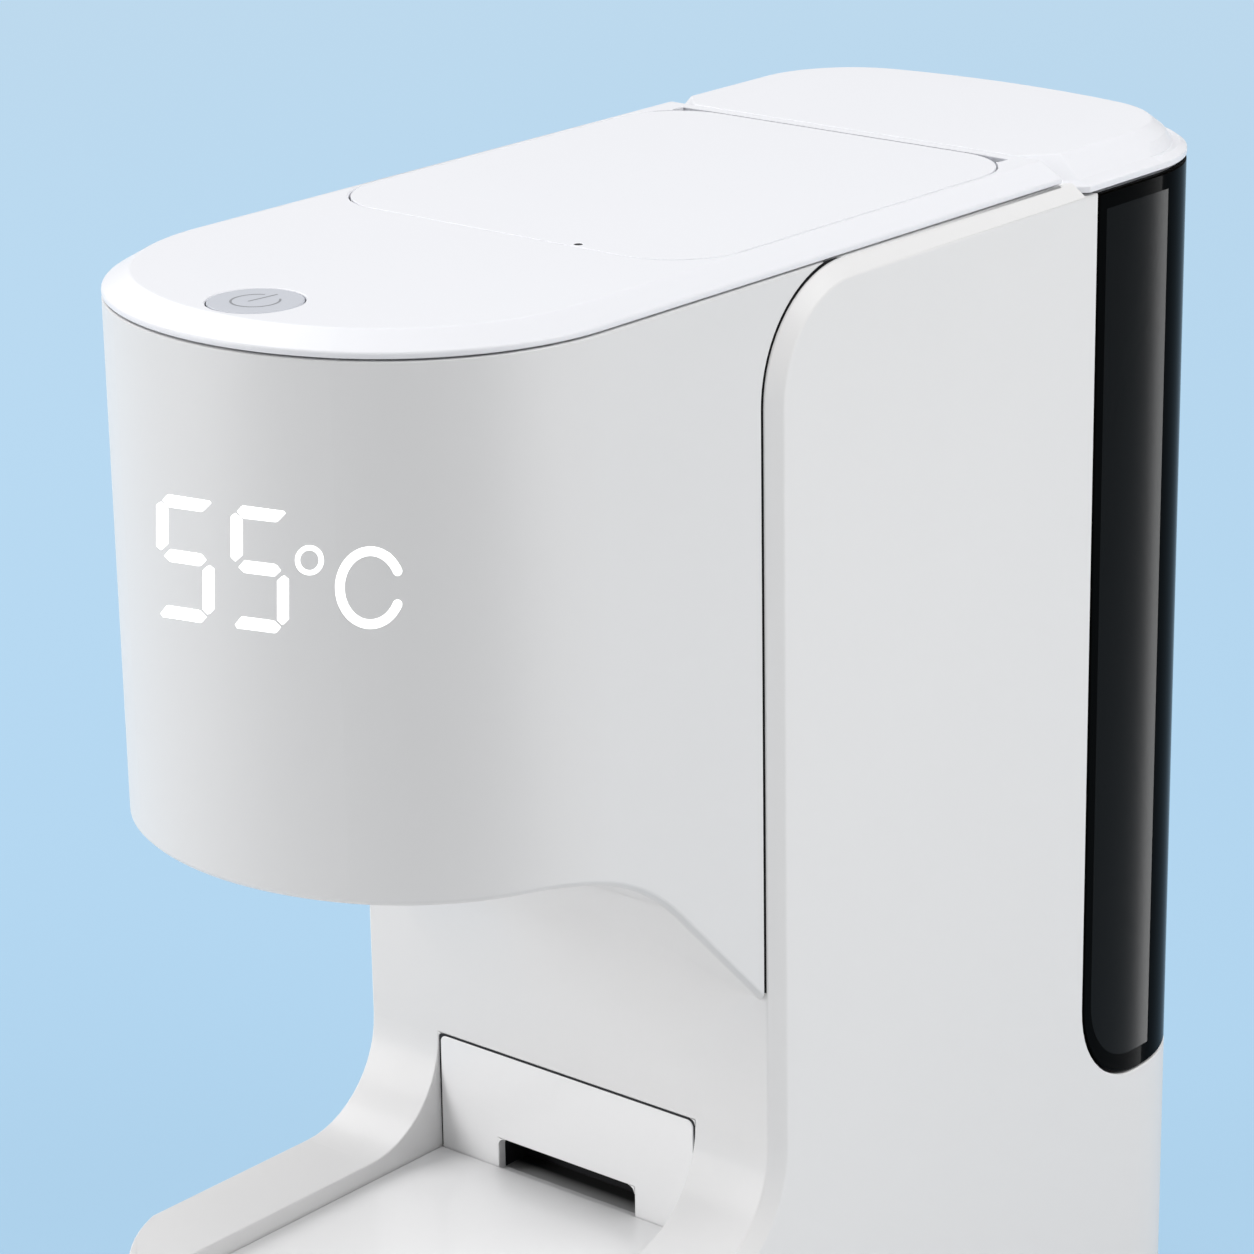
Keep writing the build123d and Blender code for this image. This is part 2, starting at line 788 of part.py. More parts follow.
# Hatch lid, hinged along its rear edge, with its skirt and seal
with BuildPart() as hatch_lid:
    lid_slab(0, lid_low_z, lid_thickness)
    lid_slab(ledge_width + slide_gap, skirt_low_z, lid_low_z - skirt_low_z)
    lid_slab(ledge_width + slide_gap + skirt_wall, skirt_low_z, lid_low_z - skirt_low_z, Mode.SUBTRACT)
    block(
        (-hinge_rib_half + seam, hinge_rib_half - seam),
        (hinge_y - hinge_drop, hinge_y + hinge_drop),
        (hinge_z - hinge_drop, lid_low_z),
    )
    for side in (1, -1):
        ear_reach = hinge_ear_width / 2 + slide_gap
        block(
            (side * hinge_ear_x - ear_reach, side * hinge_ear_x + ear_reach),
            (hinge_y - hinge_drop - slide_gap, lid_back_y + seam),
            (hinge_z - 2 * hinge_drop, hinge_z + hinge_ear_r + slide_gap / 2),
            Mode.SUBTRACT,
        )
    with BuildSketch(Plane.YZ):
        with Locations((hinge_y, hinge_z)):
            Circle(hinge_pin_r + run_gap)
    extrude(amount=hinge_pin_half + run_gap, both=True, mode=Mode.SUBTRACT)
    upright_cut(vent_hole_x, vent_hole_y, lid_low_z, 2 * lid_thickness, vent_hole_r)
save(hatch_lid.part, "hatch_lid")

with BuildPart() as lid_seal:
    seal_low_z = ledge_top_z + seat_gap
    lid_slab(seal_margin, seal_low_z, lid_low_z - seal_low_z)
    lid_slab(seal_margin + seal_width, seal_low_z, lid_low_z - seal_low_z, Mode.SUBTRACT)
    hinge_reach = (hinge_y - hinge_drop - slide_gap, lid_back_y)
    block((-lid_half, lid_half), hinge_reach, (seal_low_z, lid_low_z), Mode.SUBTRACT)
    upright_cut(vent_hole_x, vent_hole_y, seal_low_z, lid_thickness, vent_hole_r + seam)
save(lid_seal.part, "lid_seal")

with BuildPart() as lid_hinge_pin:
    with BuildSketch(Plane.YZ):
        with Locations((hinge_y, hinge_z)):
            Circle(hinge_pin_r)
    extrude(amount=hinge_pin_half, both=True)
save(lid_hinge_pin.part, "lid_hinge_pin")

# Filter well: a deep cup hung under the deck by its flange
with BuildPart() as filter_well:
    well_middle_y = (well_front_y + well_back_y) / 2
    well_length = well_back_y - well_front_y
    with BuildSketch(Plane.XY.offset(well_floor_z)):
        with Locations((0, well_middle_y)):
            RectangleRounded(2 * well_half, well_length, well_corner_r)
    extrude(amount=deck_low_z - well_floor_z)
    flange_half = well_half + well_flange_reach
    block((-flange_half, flange_half), (well_front_y, well_back_y), (deck_low_z - wall, deck_low_z))
    with BuildSketch(Plane.XY.offset(well_floor_z + well_wall)):
        with Locations((0, well_middle_y)):
            inner_half = well_half - well_wall
            RectangleRounded(2 * inner_half, well_length - 2 * well_wall, well_corner_r - well_wall)
    extrude(amount=deck_low_z - well_floor_z, mode=Mode.SUBTRACT)
save(filter_well.part, "filter_well")

with BuildPart() as filter_cartridge:
    cartridge_low_z = well_floor_z + well_wall
    upright_ring(cartridge_x, well_middle_y, cartridge_low_z, cartridge_height, cartridge_r)
    fillet(filter_cartridge.faces().sort_by(Axis.Z)[-1].edges(), radius=3)
    knob_z = cartridge_low_z + cartridge_height
    upright_ring(cartridge_x, well_middle_y, knob_z, cartridge_knob_height, cartridge_knob_r)
save(filter_cartridge.part, "filter_cartridge")

# Water tank: an open box with round corners that fills the bay
with BuildPart() as tank_space:
    with BuildSketch(Plane.YZ):
        tank_face(-tank_wall)
    extrude(amount=body_half, both=True)
    with BuildSketch(Plane.XY):
        body_face(tank_wall)
    extrude(amount=2 * total_height, mode=Mode.INTERSECT)

with BuildPart() as water_tank:
    with BuildSketch(Plane.YZ):
        tank_face(0)
    extrude(amount=body_half, both=True)
    with BuildSketch(Plane.XY):
        body_face(0)
    extrude(amount=tank_top_z, mode=Mode.INTERSECT)
    add(tank_space.part, mode=Mode.SUBTRACT)
    upright_cut(0, valve_y, tank_bottom_z - tank_wall, 3 * tank_wall, valve_r)
save(water_tank.part, "water_tank")


def cap_layer(low, inset, high, next_inset):
    """Add one ruled band of the cap between two heights. Its front face stays upright."""
    with BuildSketch(Plane.XY.offset(low)) as lower:
        back_face(inset, cap_front_y, cap_corner_x, cap_corner_y)
    with BuildSketch(Plane.XY.offset(high)) as upper:
        back_face(next_inset, cap_front_y, cap_corner_x, cap_corner_y)
    loft([lower.sketch.face(), upper.sketch.face()], ruled=True)


# Cap of the tank: lip, sloping ledge, facet and flat top, with a plug that carries the seal
with BuildPart() as tank_cap:
    lip_top_z = cap_low_z + cap_lip
    ledge_z = lip_top_z + cap_ledge_height
    cap_layer(cap_low_z, 0, lip_top_z, 0)
    cap_layer(lip_top_z, 0, ledge_z, cap_ledge_inset)
    cap_layer(ledge_z, cap_ledge_inset, total_height, cap_facet_inset)
    with BuildSketch(Plane.XY.offset(cap_low_z)):
        back_face(cap_pocket_inset, cap_front_y + cap_pocket_inset, cap_corner_x, cap_corner_y)
    extrude(amount=cap_height - cap_deck, mode=Mode.SUBTRACT)
    plug_inset = tank_wall + seat_gap + cap_seal_width
    plug_front_y = tank_front_y + plug_inset
    with BuildSketch(Plane.XY.offset(cap_low_z - cap_plug_depth)):
        back_face(plug_inset, plug_front_y, plug_corner, plug_corner)
    extrude(amount=cap_plug_depth)
    with BuildSketch(Plane.XY.offset(cap_low_z - cap_plug_depth)):
        back_face(plug_inset + cap_plug_wall, plug_front_y + cap_plug_wall, plug_corner, plug_corner)
    extrude(amount=cap_plug_depth, mode=Mode.SUBTRACT)
save(tank_cap.part, "tank_cap")

# Seal around the cap's plug, clear of the tank's wall
with BuildPart() as cap_seal:
    seal_z = cap_low_z - cap_plug_depth + cap_seal_height
    with BuildSketch(Plane.XY.offset(seal_z)):
        back_face(tank_wall + seat_gap, tank_front_y + tank_wall + seat_gap, plug_corner, plug_corner)
    extrude(amount=cap_seal_height)
    with BuildSketch(Plane.XY.offset(seal_z)):
        back_face(plug_inset, plug_front_y, plug_corner, plug_corner)
    extrude(amount=cap_seal_height, mode=Mode.SUBTRACT)
save(cap_seal.part, "cap_seal")

# Valve in the tank's floor: body with a windowed cage, lifting stem and its spring
with BuildPart() as valve_body:
    seat_top_z = valve_seat_z + valve_seat_height
    upright_ring(0, valve_y, tank_bottom_z, seat_top_z - tank_bottom_z, valve_r - run_gap)
    upright_ring(0, valve_y, tank_bottom_z + tank_wall, valve_flange_height, valve_flange_r)
    upright_ring(0, valve_y, seat_top_z, valve_cage_top_z - seat_top_z, valve_r - run_gap)
    upright_cut(0, valve_y, seat_top_z, valve_cage_top_z - seat_top_z - wall, valve_cage_r)
    upright_cut(0, valve_y, tank_bottom_z - seam, valve_seat_z - tank_bottom_z + seam, valve_bore_r)
    upright_cut(0, valve_y, valve_seat_z, valve_seat_height, valve_seat_r)
    upright_cut(0, valve_y, valve_seat_z, valve_cage_top_z, stem_rod_r + run_gap)
    half_window = valve_window / 2
    window_rise = (seat_top_z, valve_cage_top_z - 2 * wall)
    block(body_span, (valve_y - half_window, valve_y + half_window), window_rise, Mode.SUBTRACT)
    block((-half_window, half_window), (tank_front_y, back_y), window_rise, Mode.SUBTRACT)
save(valve_body.part, "valve_body")

with BuildPart() as valve_stem:
    stem_low_z = nipple_top_z + seat_gap
    head_low_z = seat_top_z + stem_lift
    upright_ring(0, valve_y, stem_low_z, valve_cage_top_z - stem_low_z + stem_lift, stem_rod_r)
    upright_ring(0, valve_y, head_low_z, stem_head_height, stem_head_r)
save(valve_stem.part, "valve_stem")

with BuildPart() as valve_spring:
    spring_low_z = head_low_z + stem_head_height
    spring_rise = valve_cage_top_z - wall - spring_low_z
    upright_ring(0, valve_y, spring_low_z, spring_rise, spring_r, spring_r - spring_wall)
save(valve_spring.part, "valve_spring")

# Socket that opens the valve, its seal, and the hose down to the pump
with BuildPart() as tank_socket:
    flange_low_z = bay_floor_z - wall - socket_flange_height
    upright_ring(0, valve_y, flange_low_z, socket_flange_height, socket_flange_r)
    upright_ring(0, valve_y, flange_low_z, bay_floor_z - flange_low_z, socket_r)
    upright_ring(0, valve_y, bay_floor_z, nipple_top_z - bay_floor_z, nipple_r)
    upright_ring(0, valve_y, flange_low_z - spigot_length, spigot_length, hose_bore_r)
    upright_cut(0, valve_y, flange_low_z - spigot_length, 2 * beyond + spigot_length, spigot_bore_r)
save(tank_socket.part, "tank_socket")

with BuildPart() as socket_seal:
    upright_ring(0, valve_y, bay_floor_z, socket_seal_height, socket_seal_r, nipple_r)
save(socket_seal.part, "socket_seal")


def hose(corners):
    """Add a hose along straight runs in the middle plane, joined by tangent arcs."""
    start = Vector(0, *corners[0])
    ahead = Vector(0, *corners[1]) - start
    if len(corners) > 2:
        with BuildLine() as route:
            FilletPolyline(*[(0, *corner) for corner in corners], radius=hose_bend_r)
    else:
        with BuildLine() as route:
            Line(start, Vector(0, *corners[1]))
    with BuildSketch(Plane(origin=start, z_dir=ahead)) as section:
        ring(hose_r, hose_bore_r + run_gap)
    sweep(section.sketch, path=route.wire())


with BuildPart() as inlet_hose:
    inlet_top_z = flange_low_z - seat_gap
    hose([(valve_y, inlet_top_z), (valve_y, pump_z), (pump_back_y + seat_gap, pump_z)])
save(inlet_hose.part, "inlet_hose")

with BuildPart() as water_pump:
    with BuildSketch(Plane.XZ.offset(-pump_back_y)):
        with Locations((0, pump_z)):
            Circle(pump_r)
    extrude(amount=pump_back_y - pump_front_y - motor_length)
    with BuildSketch(Plane.XZ.offset(-pump_back_y)):
        with Locations((0, pump_z)):
            Circle(motor_r)
    extrude(amount=pump_back_y - pump_front_y)
    with BuildSketch(Plane.XZ.offset(-pump_back_y - spigot_length)):
        with Locations((0, pump_z)):
            Circle(hose_bore_r)
    extrude(amount=spigot_length)
    upright_ring(0, heater_y, pump_z, pump_r + spigot_length, hose_bore_r)
save(water_pump.part, "water_pump")

with BuildPart() as pump_bracket:
    for saddle_y in (pump_back_y - saddle_width, pump_front_y + motor_length + saddle_width):
        block(
            (-saddle_half, saddle_half),
            (saddle_y - saddle_width / 2, saddle_y + saddle_width / 2),
            (plate_in_z, pump_z - pump_r / 2),
        )
    with BuildSketch(Plane.XZ.offset(-pump_back_y)):
        with Locations((0, pump_z)):
            Circle(pump_r + run_gap)
    extrude(amount=pump_back_y - pump_front_y, mode=Mode.SUBTRACT)
save(pump_bracket.part, "pump_bracket")

# Heater: a steel tube between two caps with spigots, clamped to the inner frame
with BuildPart() as pump_hose:
    outlet_z = pump_z + pump_r + seat_gap
    heater_port_z = heater_low_z - heater_cap_height
    hose([(heater_y, outlet_z), (heater_y, heater_port_z - seat_gap)])
save(pump_hose.part, "pump_hose")

with BuildPart() as heater_tube:
    upright_ring(0, heater_y, heater_low_z, heater_high_z - heater_low_z, heater_r, heater_r - heater_wall)
save(heater_tube.part, "heater_tube")

with BuildPart() as heater_end_caps:
    for end_z, way in ((heater_low_z, -1), (heater_high_z, 1)):
        cap_z = min(end_z, end_z + way * heater_cap_height)
        upright_ring(0, heater_y, cap_z, heater_cap_height, heater_r + heater_cap_overlap)
        spigot_z = min(end_z, end_z + way * (heater_cap_height + spigot_length))
        upright_ring(0, heater_y, spigot_z, heater_cap_height + spigot_length, hose_bore_r)
        upright_cut(0, heater_y, spigot_z, heater_cap_height + spigot_length, spigot_bore_r)
    upright_cut(sensor_x, heater_y, heater_high_z, heater_cap_height, sensor_r + run_gap)
save(heater_end_caps.part, "heater_end_caps")

with BuildPart() as temperature_sensor:
    upright_ring(sensor_x, heater_y, heater_high_z + run_gap, sensor_length, sensor_r)
save(temperature_sensor.part, "temperature_sensor")

# Inner frame: an upright plate with two legs, in front of the tank's bay
with BuildPart() as inner_frame:
    frame_back_y = bay_wall_y - seat_gap
    frame_front_y = frame_back_y - frame_thickness
    block((-frame_half, frame_half), (frame_front_y, frame_back_y), (plate_in_z, frame_high_z))
    leg_inner = frame_half - frame_leg_width
    block((-leg_inner, leg_inner), (frame_front_y, frame_back_y), (plate_in_z, frame_low_z), Mode.SUBTRACT)
    window_half = frame_window_half
    block(
        (-window_half, window_half),
        (frame_front_y, frame_back_y),
        (clamp_z[0] + 2 * clamp_width, clamp_z[1] - clamp_width),
        Mode.SUBTRACT,
    )
save(inner_frame.part, "inner_frame")

with BuildPart() as heater_clamps:
    clamp_r = heater_r + clamp_wall
    for low in clamp_z:
        upright_ring(0, heater_y, low, clamp_width, clamp_r)
        block((-clamp_arm_half, clamp_arm_half), (heater_y, frame_front_y), (low, low + clamp_width))
        upright_cut(0, heater_y, low, clamp_width, heater_r + run_gap)
save(heater_clamps.part, "heater_clamps")

# Outlet: the hose over to the head, the nozzle through the head floor and its collar
with BuildPart() as outlet_hose:
    heater_top_z = heater_high_z + heater_cap_height + seat_gap
    over_heater = (heater_y, hose_run_z)
    over_nozzle = (nozzle_y, hose_run_z)
    hose([(heater_y, heater_top_z), over_heater, over_nozzle, (nozzle_y, nozzle_high_z)])
save(outlet_hose.part, "outlet_hose")

with BuildPart() as outlet_nozzle:
    upright_ring(0, nozzle_y, nozzle_low_z, nozzle_high_z - seat_gap - nozzle_low_z, nozzle_r)
    upright_ring(0, nozzle_y, floor_high_z, floor_thickness, nozzle_flange_r)
    upright_ring(0, nozzle_y, nozzle_high_z - floor_thickness, spigot_length, hose_bore_r)
    upright_cut(0, nozzle_y, nozzle_low_z, 2 * beyond, spigot_bore_r)
    upright_cut(0, nozzle_y, nozzle_low_z, spigot_length, nozzle_bore_r)
save(outlet_nozzle.part, "outlet_nozzle")

with BuildPart() as nozzle_collar:
    upright_ring(0, nozzle_y, pad_low_z - collar_height, collar_height, collar_r, nozzle_r + run_gap)
    fillet(nozzle_collar.faces().sort_by(Axis.Z)[0].outer_wire().edges(), radius=2)
save(nozzle_collar.part, "nozzle_collar")

# Power board on the bosses of the left wall, with its transformer and capacitors
with BuildPart() as power_board:
    back_edge_y = power_board_y + power_board_length / 2
    low_edge_z = power_board_z - power_board_height / 2
    block(
        (board_face_x, power_board_x),
        (back_edge_y - power_board_length, back_edge_y),
        (low_edge_z, low_edge_z + power_board_height),
    )
    block(
        (power_board_x, power_board_x + transformer_side),
        (power_board_y - transformer_side / 2, power_board_y + transformer_side / 2),
        (power_board_z - transformer_side / 2, power_board_z + transformer_side / 2),
    )
    for way in (-1, 1):
        with BuildSketch(Plane.YZ.offset(power_board_x)):
            with Locations((power_board_y + way * transformer_side, power_board_z - transformer_side)):
                Circle(capacitor_r)
        extrude(amount=capacitor_height)
save(power_board.part, "power_board")

# Power inlet in the back, with two pins in its recess
with BuildPart() as power_inlet:
    inlet_face_y = back_y - back_r + sqrt(back_r ** 2 - (inlet_x + inlet_width / 2) ** 2)
    inlet_rear_y = inlet_face_y - inlet_depth
    half_width = inlet_width / 2
    half_height = inlet_height / 2
    block(
        (inlet_x - half_width, inlet_x + half_width),
        (inlet_rear_y, inlet_face_y),
        (inlet_z - half_height, inlet_z + half_height),
    )
    with BuildSketch(Plane.XZ.offset(-inlet_face_y)):
        with Locations((inlet_x, inlet_z)):
            SlotOverall(inlet_width - 2 * wall, inlet_height - 2 * wall)
    extrude(amount=inlet_recess, mode=Mode.SUBTRACT)
    with BuildSketch(Plane.XZ.offset(inlet_recess - inlet_face_y)):
        for way in (-1, 1):
            with Locations((inlet_x + way * inlet_pin_pitch / 2, inlet_z)):
                Circle(inlet_pin_r)
    extrude(amount=-(inlet_recess - seam))
save(power_inlet.part, "power_inlet")

# Drip tray: a basin between the arms whose back rises as a panel with a finger notch
with BuildPart() as tray_basin:
    with BuildSketch(Plane.XY.offset(tray_floor_top_z)):
        base_face(tray_wall, panel_front_y)
    extrude(amount=beyond + tray_wall)
    basin_half = tray_half - slide_gap - tray_wall
    tray_reach = (base_nose_y, panel_front_y)
    tray_rise = (tray_floor_z, plate_top_z)
    block((-basin_half, basin_half), tray_reach, tray_rise, Mode.INTERSECT)

with BuildPart() as drip_tray:
    tray_low_z = tray_floor_z + seat_gap
    tray_side = tray_half - slide_gap
    with BuildSketch(Plane.XY.offset(tray_low_z)):
        base_face(0, panel_back_y)
    extrude(amount=plate_low_z - tray_low_z)
    block((-tray_side, tray_side), (base_nose_y, panel_back_y), (tray_low_z, plate_low_z), Mode.INTERSECT)
    add(tray_basin.part, mode=Mode.SUBTRACT)
    with BuildSketch(Plane.XZ.offset(-panel_back_y)):
        with Locations((0, (tray_low_z + panel_top_z) / 2)):
            Rectangle(2 * tray_side, panel_top_z - tray_low_z)
    extrude(amount=panel_thickness)
    top_corners = drip_tray.edges().filter_by(Axis.Y).group_by(Axis.Z)[-1]
    fillet(top_corners, radius=panel_corner_r)
    block(
        (-notch_half, notch_half),
        (panel_front_y, panel_back_y),
        (plate_top_z - notch_sill, notch_top_z),
        Mode.SUBTRACT,
    )
save(drip_tray.part, "drip_tray")

# Drip plate: a smooth deck with a skirt inside the basin and drain slots near the front
with BuildPart() as plate_hollow:
    with BuildSketch(Plane.XY.offset(plate_low_z - plate_skirt)):
        base_face(tray_wall + seat_gap + plate_skirt_wall, panel_front_y - seat_gap - plate_skirt_wall)
    extrude(amount=plate_skirt)
    hollow_half = basin_half - seat_gap - plate_skirt_wall
    block((-hollow_half, hollow_half), tray_reach, tray_rise, Mode.INTERSECT)

with BuildPart() as drip_plate:
    with BuildSketch(Plane.XY.offset(plate_low_z - plate_skirt)):
        base_face(tray_wall + seat_gap, panel_front_y - seat_gap)
    extrude(amount=plate_skirt)
    skirt_half = basin_half - seat_gap
    block((-skirt_half, skirt_half), tray_reach, tray_rise, Mode.INTERSECT)
    with BuildSketch(Plane.XY.offset(plate_low_z)):
        base_face(0, panel_front_y - seat_gap)
        with Locations((0, (base_nose_y + panel_front_y) / 2)):
            Rectangle(2 * tray_side, panel_front_y - base_nose_y, mode=Mode.INTERSECT)
    extrude(amount=plate_deck)
    add(plate_hollow.part, mode=Mode.SUBTRACT)
    with BuildSketch(Plane.XY.offset(plate_low_z)):
        for slot in range(drain_slots):
            with Locations((0, drain_slot_first_y - slot * drain_slot_pitch)):
                SlotOverall(2 * drain_slot_half, drain_slot_width)
    extrude(amount=plate_deck, mode=Mode.SUBTRACT)
save(drip_plate.part, "drip_plate")
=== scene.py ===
"""Looks of the formula water dispenser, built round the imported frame. Metres, +Z up, front -Y."""

import json
from math import asin, atan2, cos, pi, radians, sin, sqrt, tan

import bmesh
import bpy
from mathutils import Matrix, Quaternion, Vector
from mathutils.bvhtree import BVHTree
from mathutils.interpolate import poly_3d_calc

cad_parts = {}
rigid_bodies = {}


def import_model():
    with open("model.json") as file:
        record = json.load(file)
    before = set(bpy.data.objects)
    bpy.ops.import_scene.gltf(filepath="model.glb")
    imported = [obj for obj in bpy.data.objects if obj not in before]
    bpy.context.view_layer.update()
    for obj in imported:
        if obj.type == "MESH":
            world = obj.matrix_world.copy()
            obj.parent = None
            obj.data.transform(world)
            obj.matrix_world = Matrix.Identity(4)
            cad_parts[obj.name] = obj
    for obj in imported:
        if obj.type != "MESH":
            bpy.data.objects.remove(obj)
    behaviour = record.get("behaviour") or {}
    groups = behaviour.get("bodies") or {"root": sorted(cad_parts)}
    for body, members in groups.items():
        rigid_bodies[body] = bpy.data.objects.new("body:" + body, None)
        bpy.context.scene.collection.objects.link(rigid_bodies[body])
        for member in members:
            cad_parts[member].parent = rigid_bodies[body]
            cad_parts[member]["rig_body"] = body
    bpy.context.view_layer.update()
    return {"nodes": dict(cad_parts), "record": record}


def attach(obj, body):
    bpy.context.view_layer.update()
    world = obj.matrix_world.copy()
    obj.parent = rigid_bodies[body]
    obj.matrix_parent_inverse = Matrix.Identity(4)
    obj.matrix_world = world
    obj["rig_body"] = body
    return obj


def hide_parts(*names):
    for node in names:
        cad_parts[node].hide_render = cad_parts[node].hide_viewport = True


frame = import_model()
scene = bpy.context.scene
scene.view_settings.view_transform = "Standard"
mm = 0.001

# Places repeated from the part's source
top_z = 368.0 * mm
body_half = 73.0 * mm
head_half = 70.0 * mm
head_inner_half = 67.3 * mm
head_nose_y = -165.0 * mm
head_nose_r = 80.0 * mm
head_corner_r = 62.0 * mm
head_top_z = 362.0 * mm
column_y = -41.5 * mm
tail_slope = radians(45.4)
tail_bend_y = -77.6 * mm
floor_end_z = 173.15 * mm
shoulder_y = -9.5 * mm
shoulder_z = 330.0 * mm
shoulder_r = 32.0 * mm
vent_place = (25.0 * mm, -57.0 * mm)
lid_front_y = -59.3 * mm
button_y = -144.2 * mm
button_r = 11.9 * mm
tank_front_y = 98.0 * mm
tank_low_z = 95.0 * mm
tank_high_z = 357.6 * mm
tank_corner_r = 28.0 * mm
opening_half = 45.5 * mm
opening_top_z = 132.3 * mm
notch_half = 24.3 * mm
notch_top_z = 106.5 * mm
pocket_half = 26.3 * mm
pocket_y = (-38.2 * mm, -27.2 * mm)
pocket_z = (95.5 * mm, 108.5 * mm)

# Camera at the photograph's viewing angle
frame_side = 1254.0
camera_place = Vector((705.8 * mm, -841.0 * mm, 623.3 * mm))
camera_ahead = Vector((-0.61349, 0.72051, -0.32327))
camera_roll = radians(-0.954)
camera_lens = 124.88
sensor_width = 36.0
sight_reach = 100.0

# Figures of the display, as places in the photograph
digit_left = (156.5, 230.9)
digit_top = (492.4, 503.8)
digit_slope = (0.157, 0.135)
bar_outlines = (
    ((11.2, 0.0), (54.2, 0.0), (55.0, 2.0), (46.0, 12.3), (11.4, 12.9), (6.2, 6.8)),
    ((0.0, 12.7), (4.3, 8.2), (11.8, 14.6), (11.8, 49.6), (4.5, 57.2), (0.0, 53.3)),
    ((13.5, 54.6), (45.2, 54.2), (50.2, 59.8), (43.8, 66.9), (13.5, 67.2), (7.8, 62.2)),
    ((46.3, 70.6), (52.8, 64.0), (58.0, 67.4), (58.0, 107.6), (51.8, 114.6), (46.3, 109.6)),
    ((10.8, 111.0), (43.5, 110.9), (50.2, 116.6), (45.2, 123.4), (5.4, 123.6), (4.2, 120.0)),
)
degree_centre = (309.5, 560.2)
degree_reach = (14.4, 15.0)
degree_line = 5.0
letter_centre = (370.4, 587.7)
letter_reach = (35.2, 41.2)
letter_line = 9.4
letter_mouth = radians(27)

# How finely the figures are drawn, and how far they stand off the head
bar_step = 2.0
bar_end_share = 0.001
degree_steps = 40
letter_steps = 60
stroke_end_steps = 8
figure_rise = 0.045 * mm

# Shares of the head's half width between which a line of sight is followed to its front
search_shares = (-0.9, 0.98)
search_steps = 40

# Stage, whose blue goes from near to far along the camera's bearing
floor_reach = 30.0
backdrop_near = (0.421, 0.638, 0.835)
backdrop_far = (0.565, 0.770, 0.944)
backdrop_span = (0.15, 2.2)
backdrop_steady = 0.8
backdrop_shaded = (0.2, 0.2, 0.2)
floor_bounce = (0.70, 0.70, 0.70)

# Lamps and sky
softbox_size = (1.0, 1.4)
softbox_distance = 2.0
softbox_target = (0.0, -0.03, 0.2)
card_size = (0.45, 0.5)
card_distance = 0.75
card_target = (0.0, -0.1, 0.25)
strip_size = (0.005, 0.34)
strip_distance = 0.1
strip_target = (body_half, 0.132, 0.17)
sky_colour = (1.0, 0.995, 0.99)
sky_strength = 0.31

# Grain and unevenness of the materials
coat_roughness = 0.08
grain_scale = 2600.0
grain_depth = 0.1 * mm
drift_scale = 9.0
moulded_spread = 0.08
brushed_scale = (900.0, 900.0, 25.0)
brushed_shade = 0.85
brushed_spread = 0.3
glow_roughness = 0.4
glow_scale = 120.0
glow_spread = 0.05

# Painted shade on the floor of the finger space, which darkens it between two depths
pocket_roughness = 0.5
pocket_light = (0.80, 0.80, 0.81)
pocket_painted_shade = (0.02, 0.02, 0.02)
pocket_shade_fade = (0.2 * mm, 6.8 * mm)

# Finish of the edges of moulded pieces
weld_distance = 1e-6
flat_angle = radians(0.2)
sharp_angle = radians(24)
bevel_segments = 3
round_profile = 0.5
upright_limit = 0.1
underside_limit = -0.5

# A CAD normal is taken over where it is long enough and turned a little, but not far, from its facet
turned_normal = (0.95, 0.99995)
least_normal = 0.5
probe_share = 0.01

# How far added skins stand off what they cover
skin_rise = 0.03 * mm
column_rise = 0.02 * mm
pocket_inset = 0.2 * mm


def camera_turn():
    """How the camera is turned: upright along its line of sight, then rolled a little."""
    return camera_ahead.to_track_quat("-Z", "Y") @ Quaternion((0.0, 0.0, 1.0), camera_roll)


def add_camera():
    """The camera of the photograph, with no shift."""
    data = bpy.data.cameras.new("photo_camera")
    data.lens = camera_lens
    data.sensor_width = sensor_width
    data.clip_end = sight_reach
    camera = bpy.data.objects.new("photo_camera", data)
    camera.location = camera_place
    camera.rotation_euler = camera_turn().to_euler()
    scene.collection.objects.link(camera)
    scene.camera = camera


def add_area_light(name, bearing, height, power, size=softbox_size,
                   distance=softbox_distance, target=softbox_target):
    """A rectangular lamp at a bearing, from the front towards +X, and a height, both in degrees."""
    data = bpy.data.lights.new(name, "AREA")
    data.shape = "RECTANGLE"
    data.size, data.size_y = size
    data.energy = power
    lamp = bpy.data.objects.new(name, data)
    turn, rise = radians(bearing), radians(height)
    way = Vector((sin(turn) * cos(rise), -cos(turn) * cos(rise), sin(rise)))
    lamp.location = Vector(target) + distance * way
    lamp.rotation_euler = (-way).to_track_quat("-Z", "Y").to_euler()
    scene.collection.objects.link(lamp)
    return lamp


def add_lights(strip_receivers):
    """Softboxes before the bay, at either side and overhead, a card on the right, and a tank strip."""
    add_area_light("left_front_softbox", bearing=-35, height=12, power=21.5)
    add_area_light("left_high_softbox", bearing=-90, height=45, power=17.0)
    add_area_light("right_high_softbox", bearing=110, height=45, power=20.4)
    top = add_area_light("top_softbox", bearing=0, height=89, power=10.6)
    top.visible_glossy = False
    card = add_area_light("right_card", bearing=100, height=1, power=0.7,
                          size=card_size, distance=card_distance, target=card_target)
    card.visible_camera = False
    strip = add_area_light("tank_strip", bearing=146.8, height=0, power=0.10,
                           size=strip_size, distance=strip_distance, target=strip_target)
    strip.visible_camera = False
    strip.light_linking.receiver_collection = strip_receivers


def add_sky():
    """An even, nearly white sky."""
    world = bpy.data.worlds.new("soft_sky")
    world.use_nodes = True
    background = world.node_tree.nodes["Background"]
    background.inputs["Color"].default_value = (*sky_colour, 1.0)
    background.inputs["Strength"].default_value = sky_strength
    scene.world = world


def new_material(name):
    """A node material with its tree and its main shader."""
    material = bpy.data.materials.new(name)
    material.use_nodes = True
    tree = material.node_tree
    return material, tree, tree.nodes["Principled BSDF"]


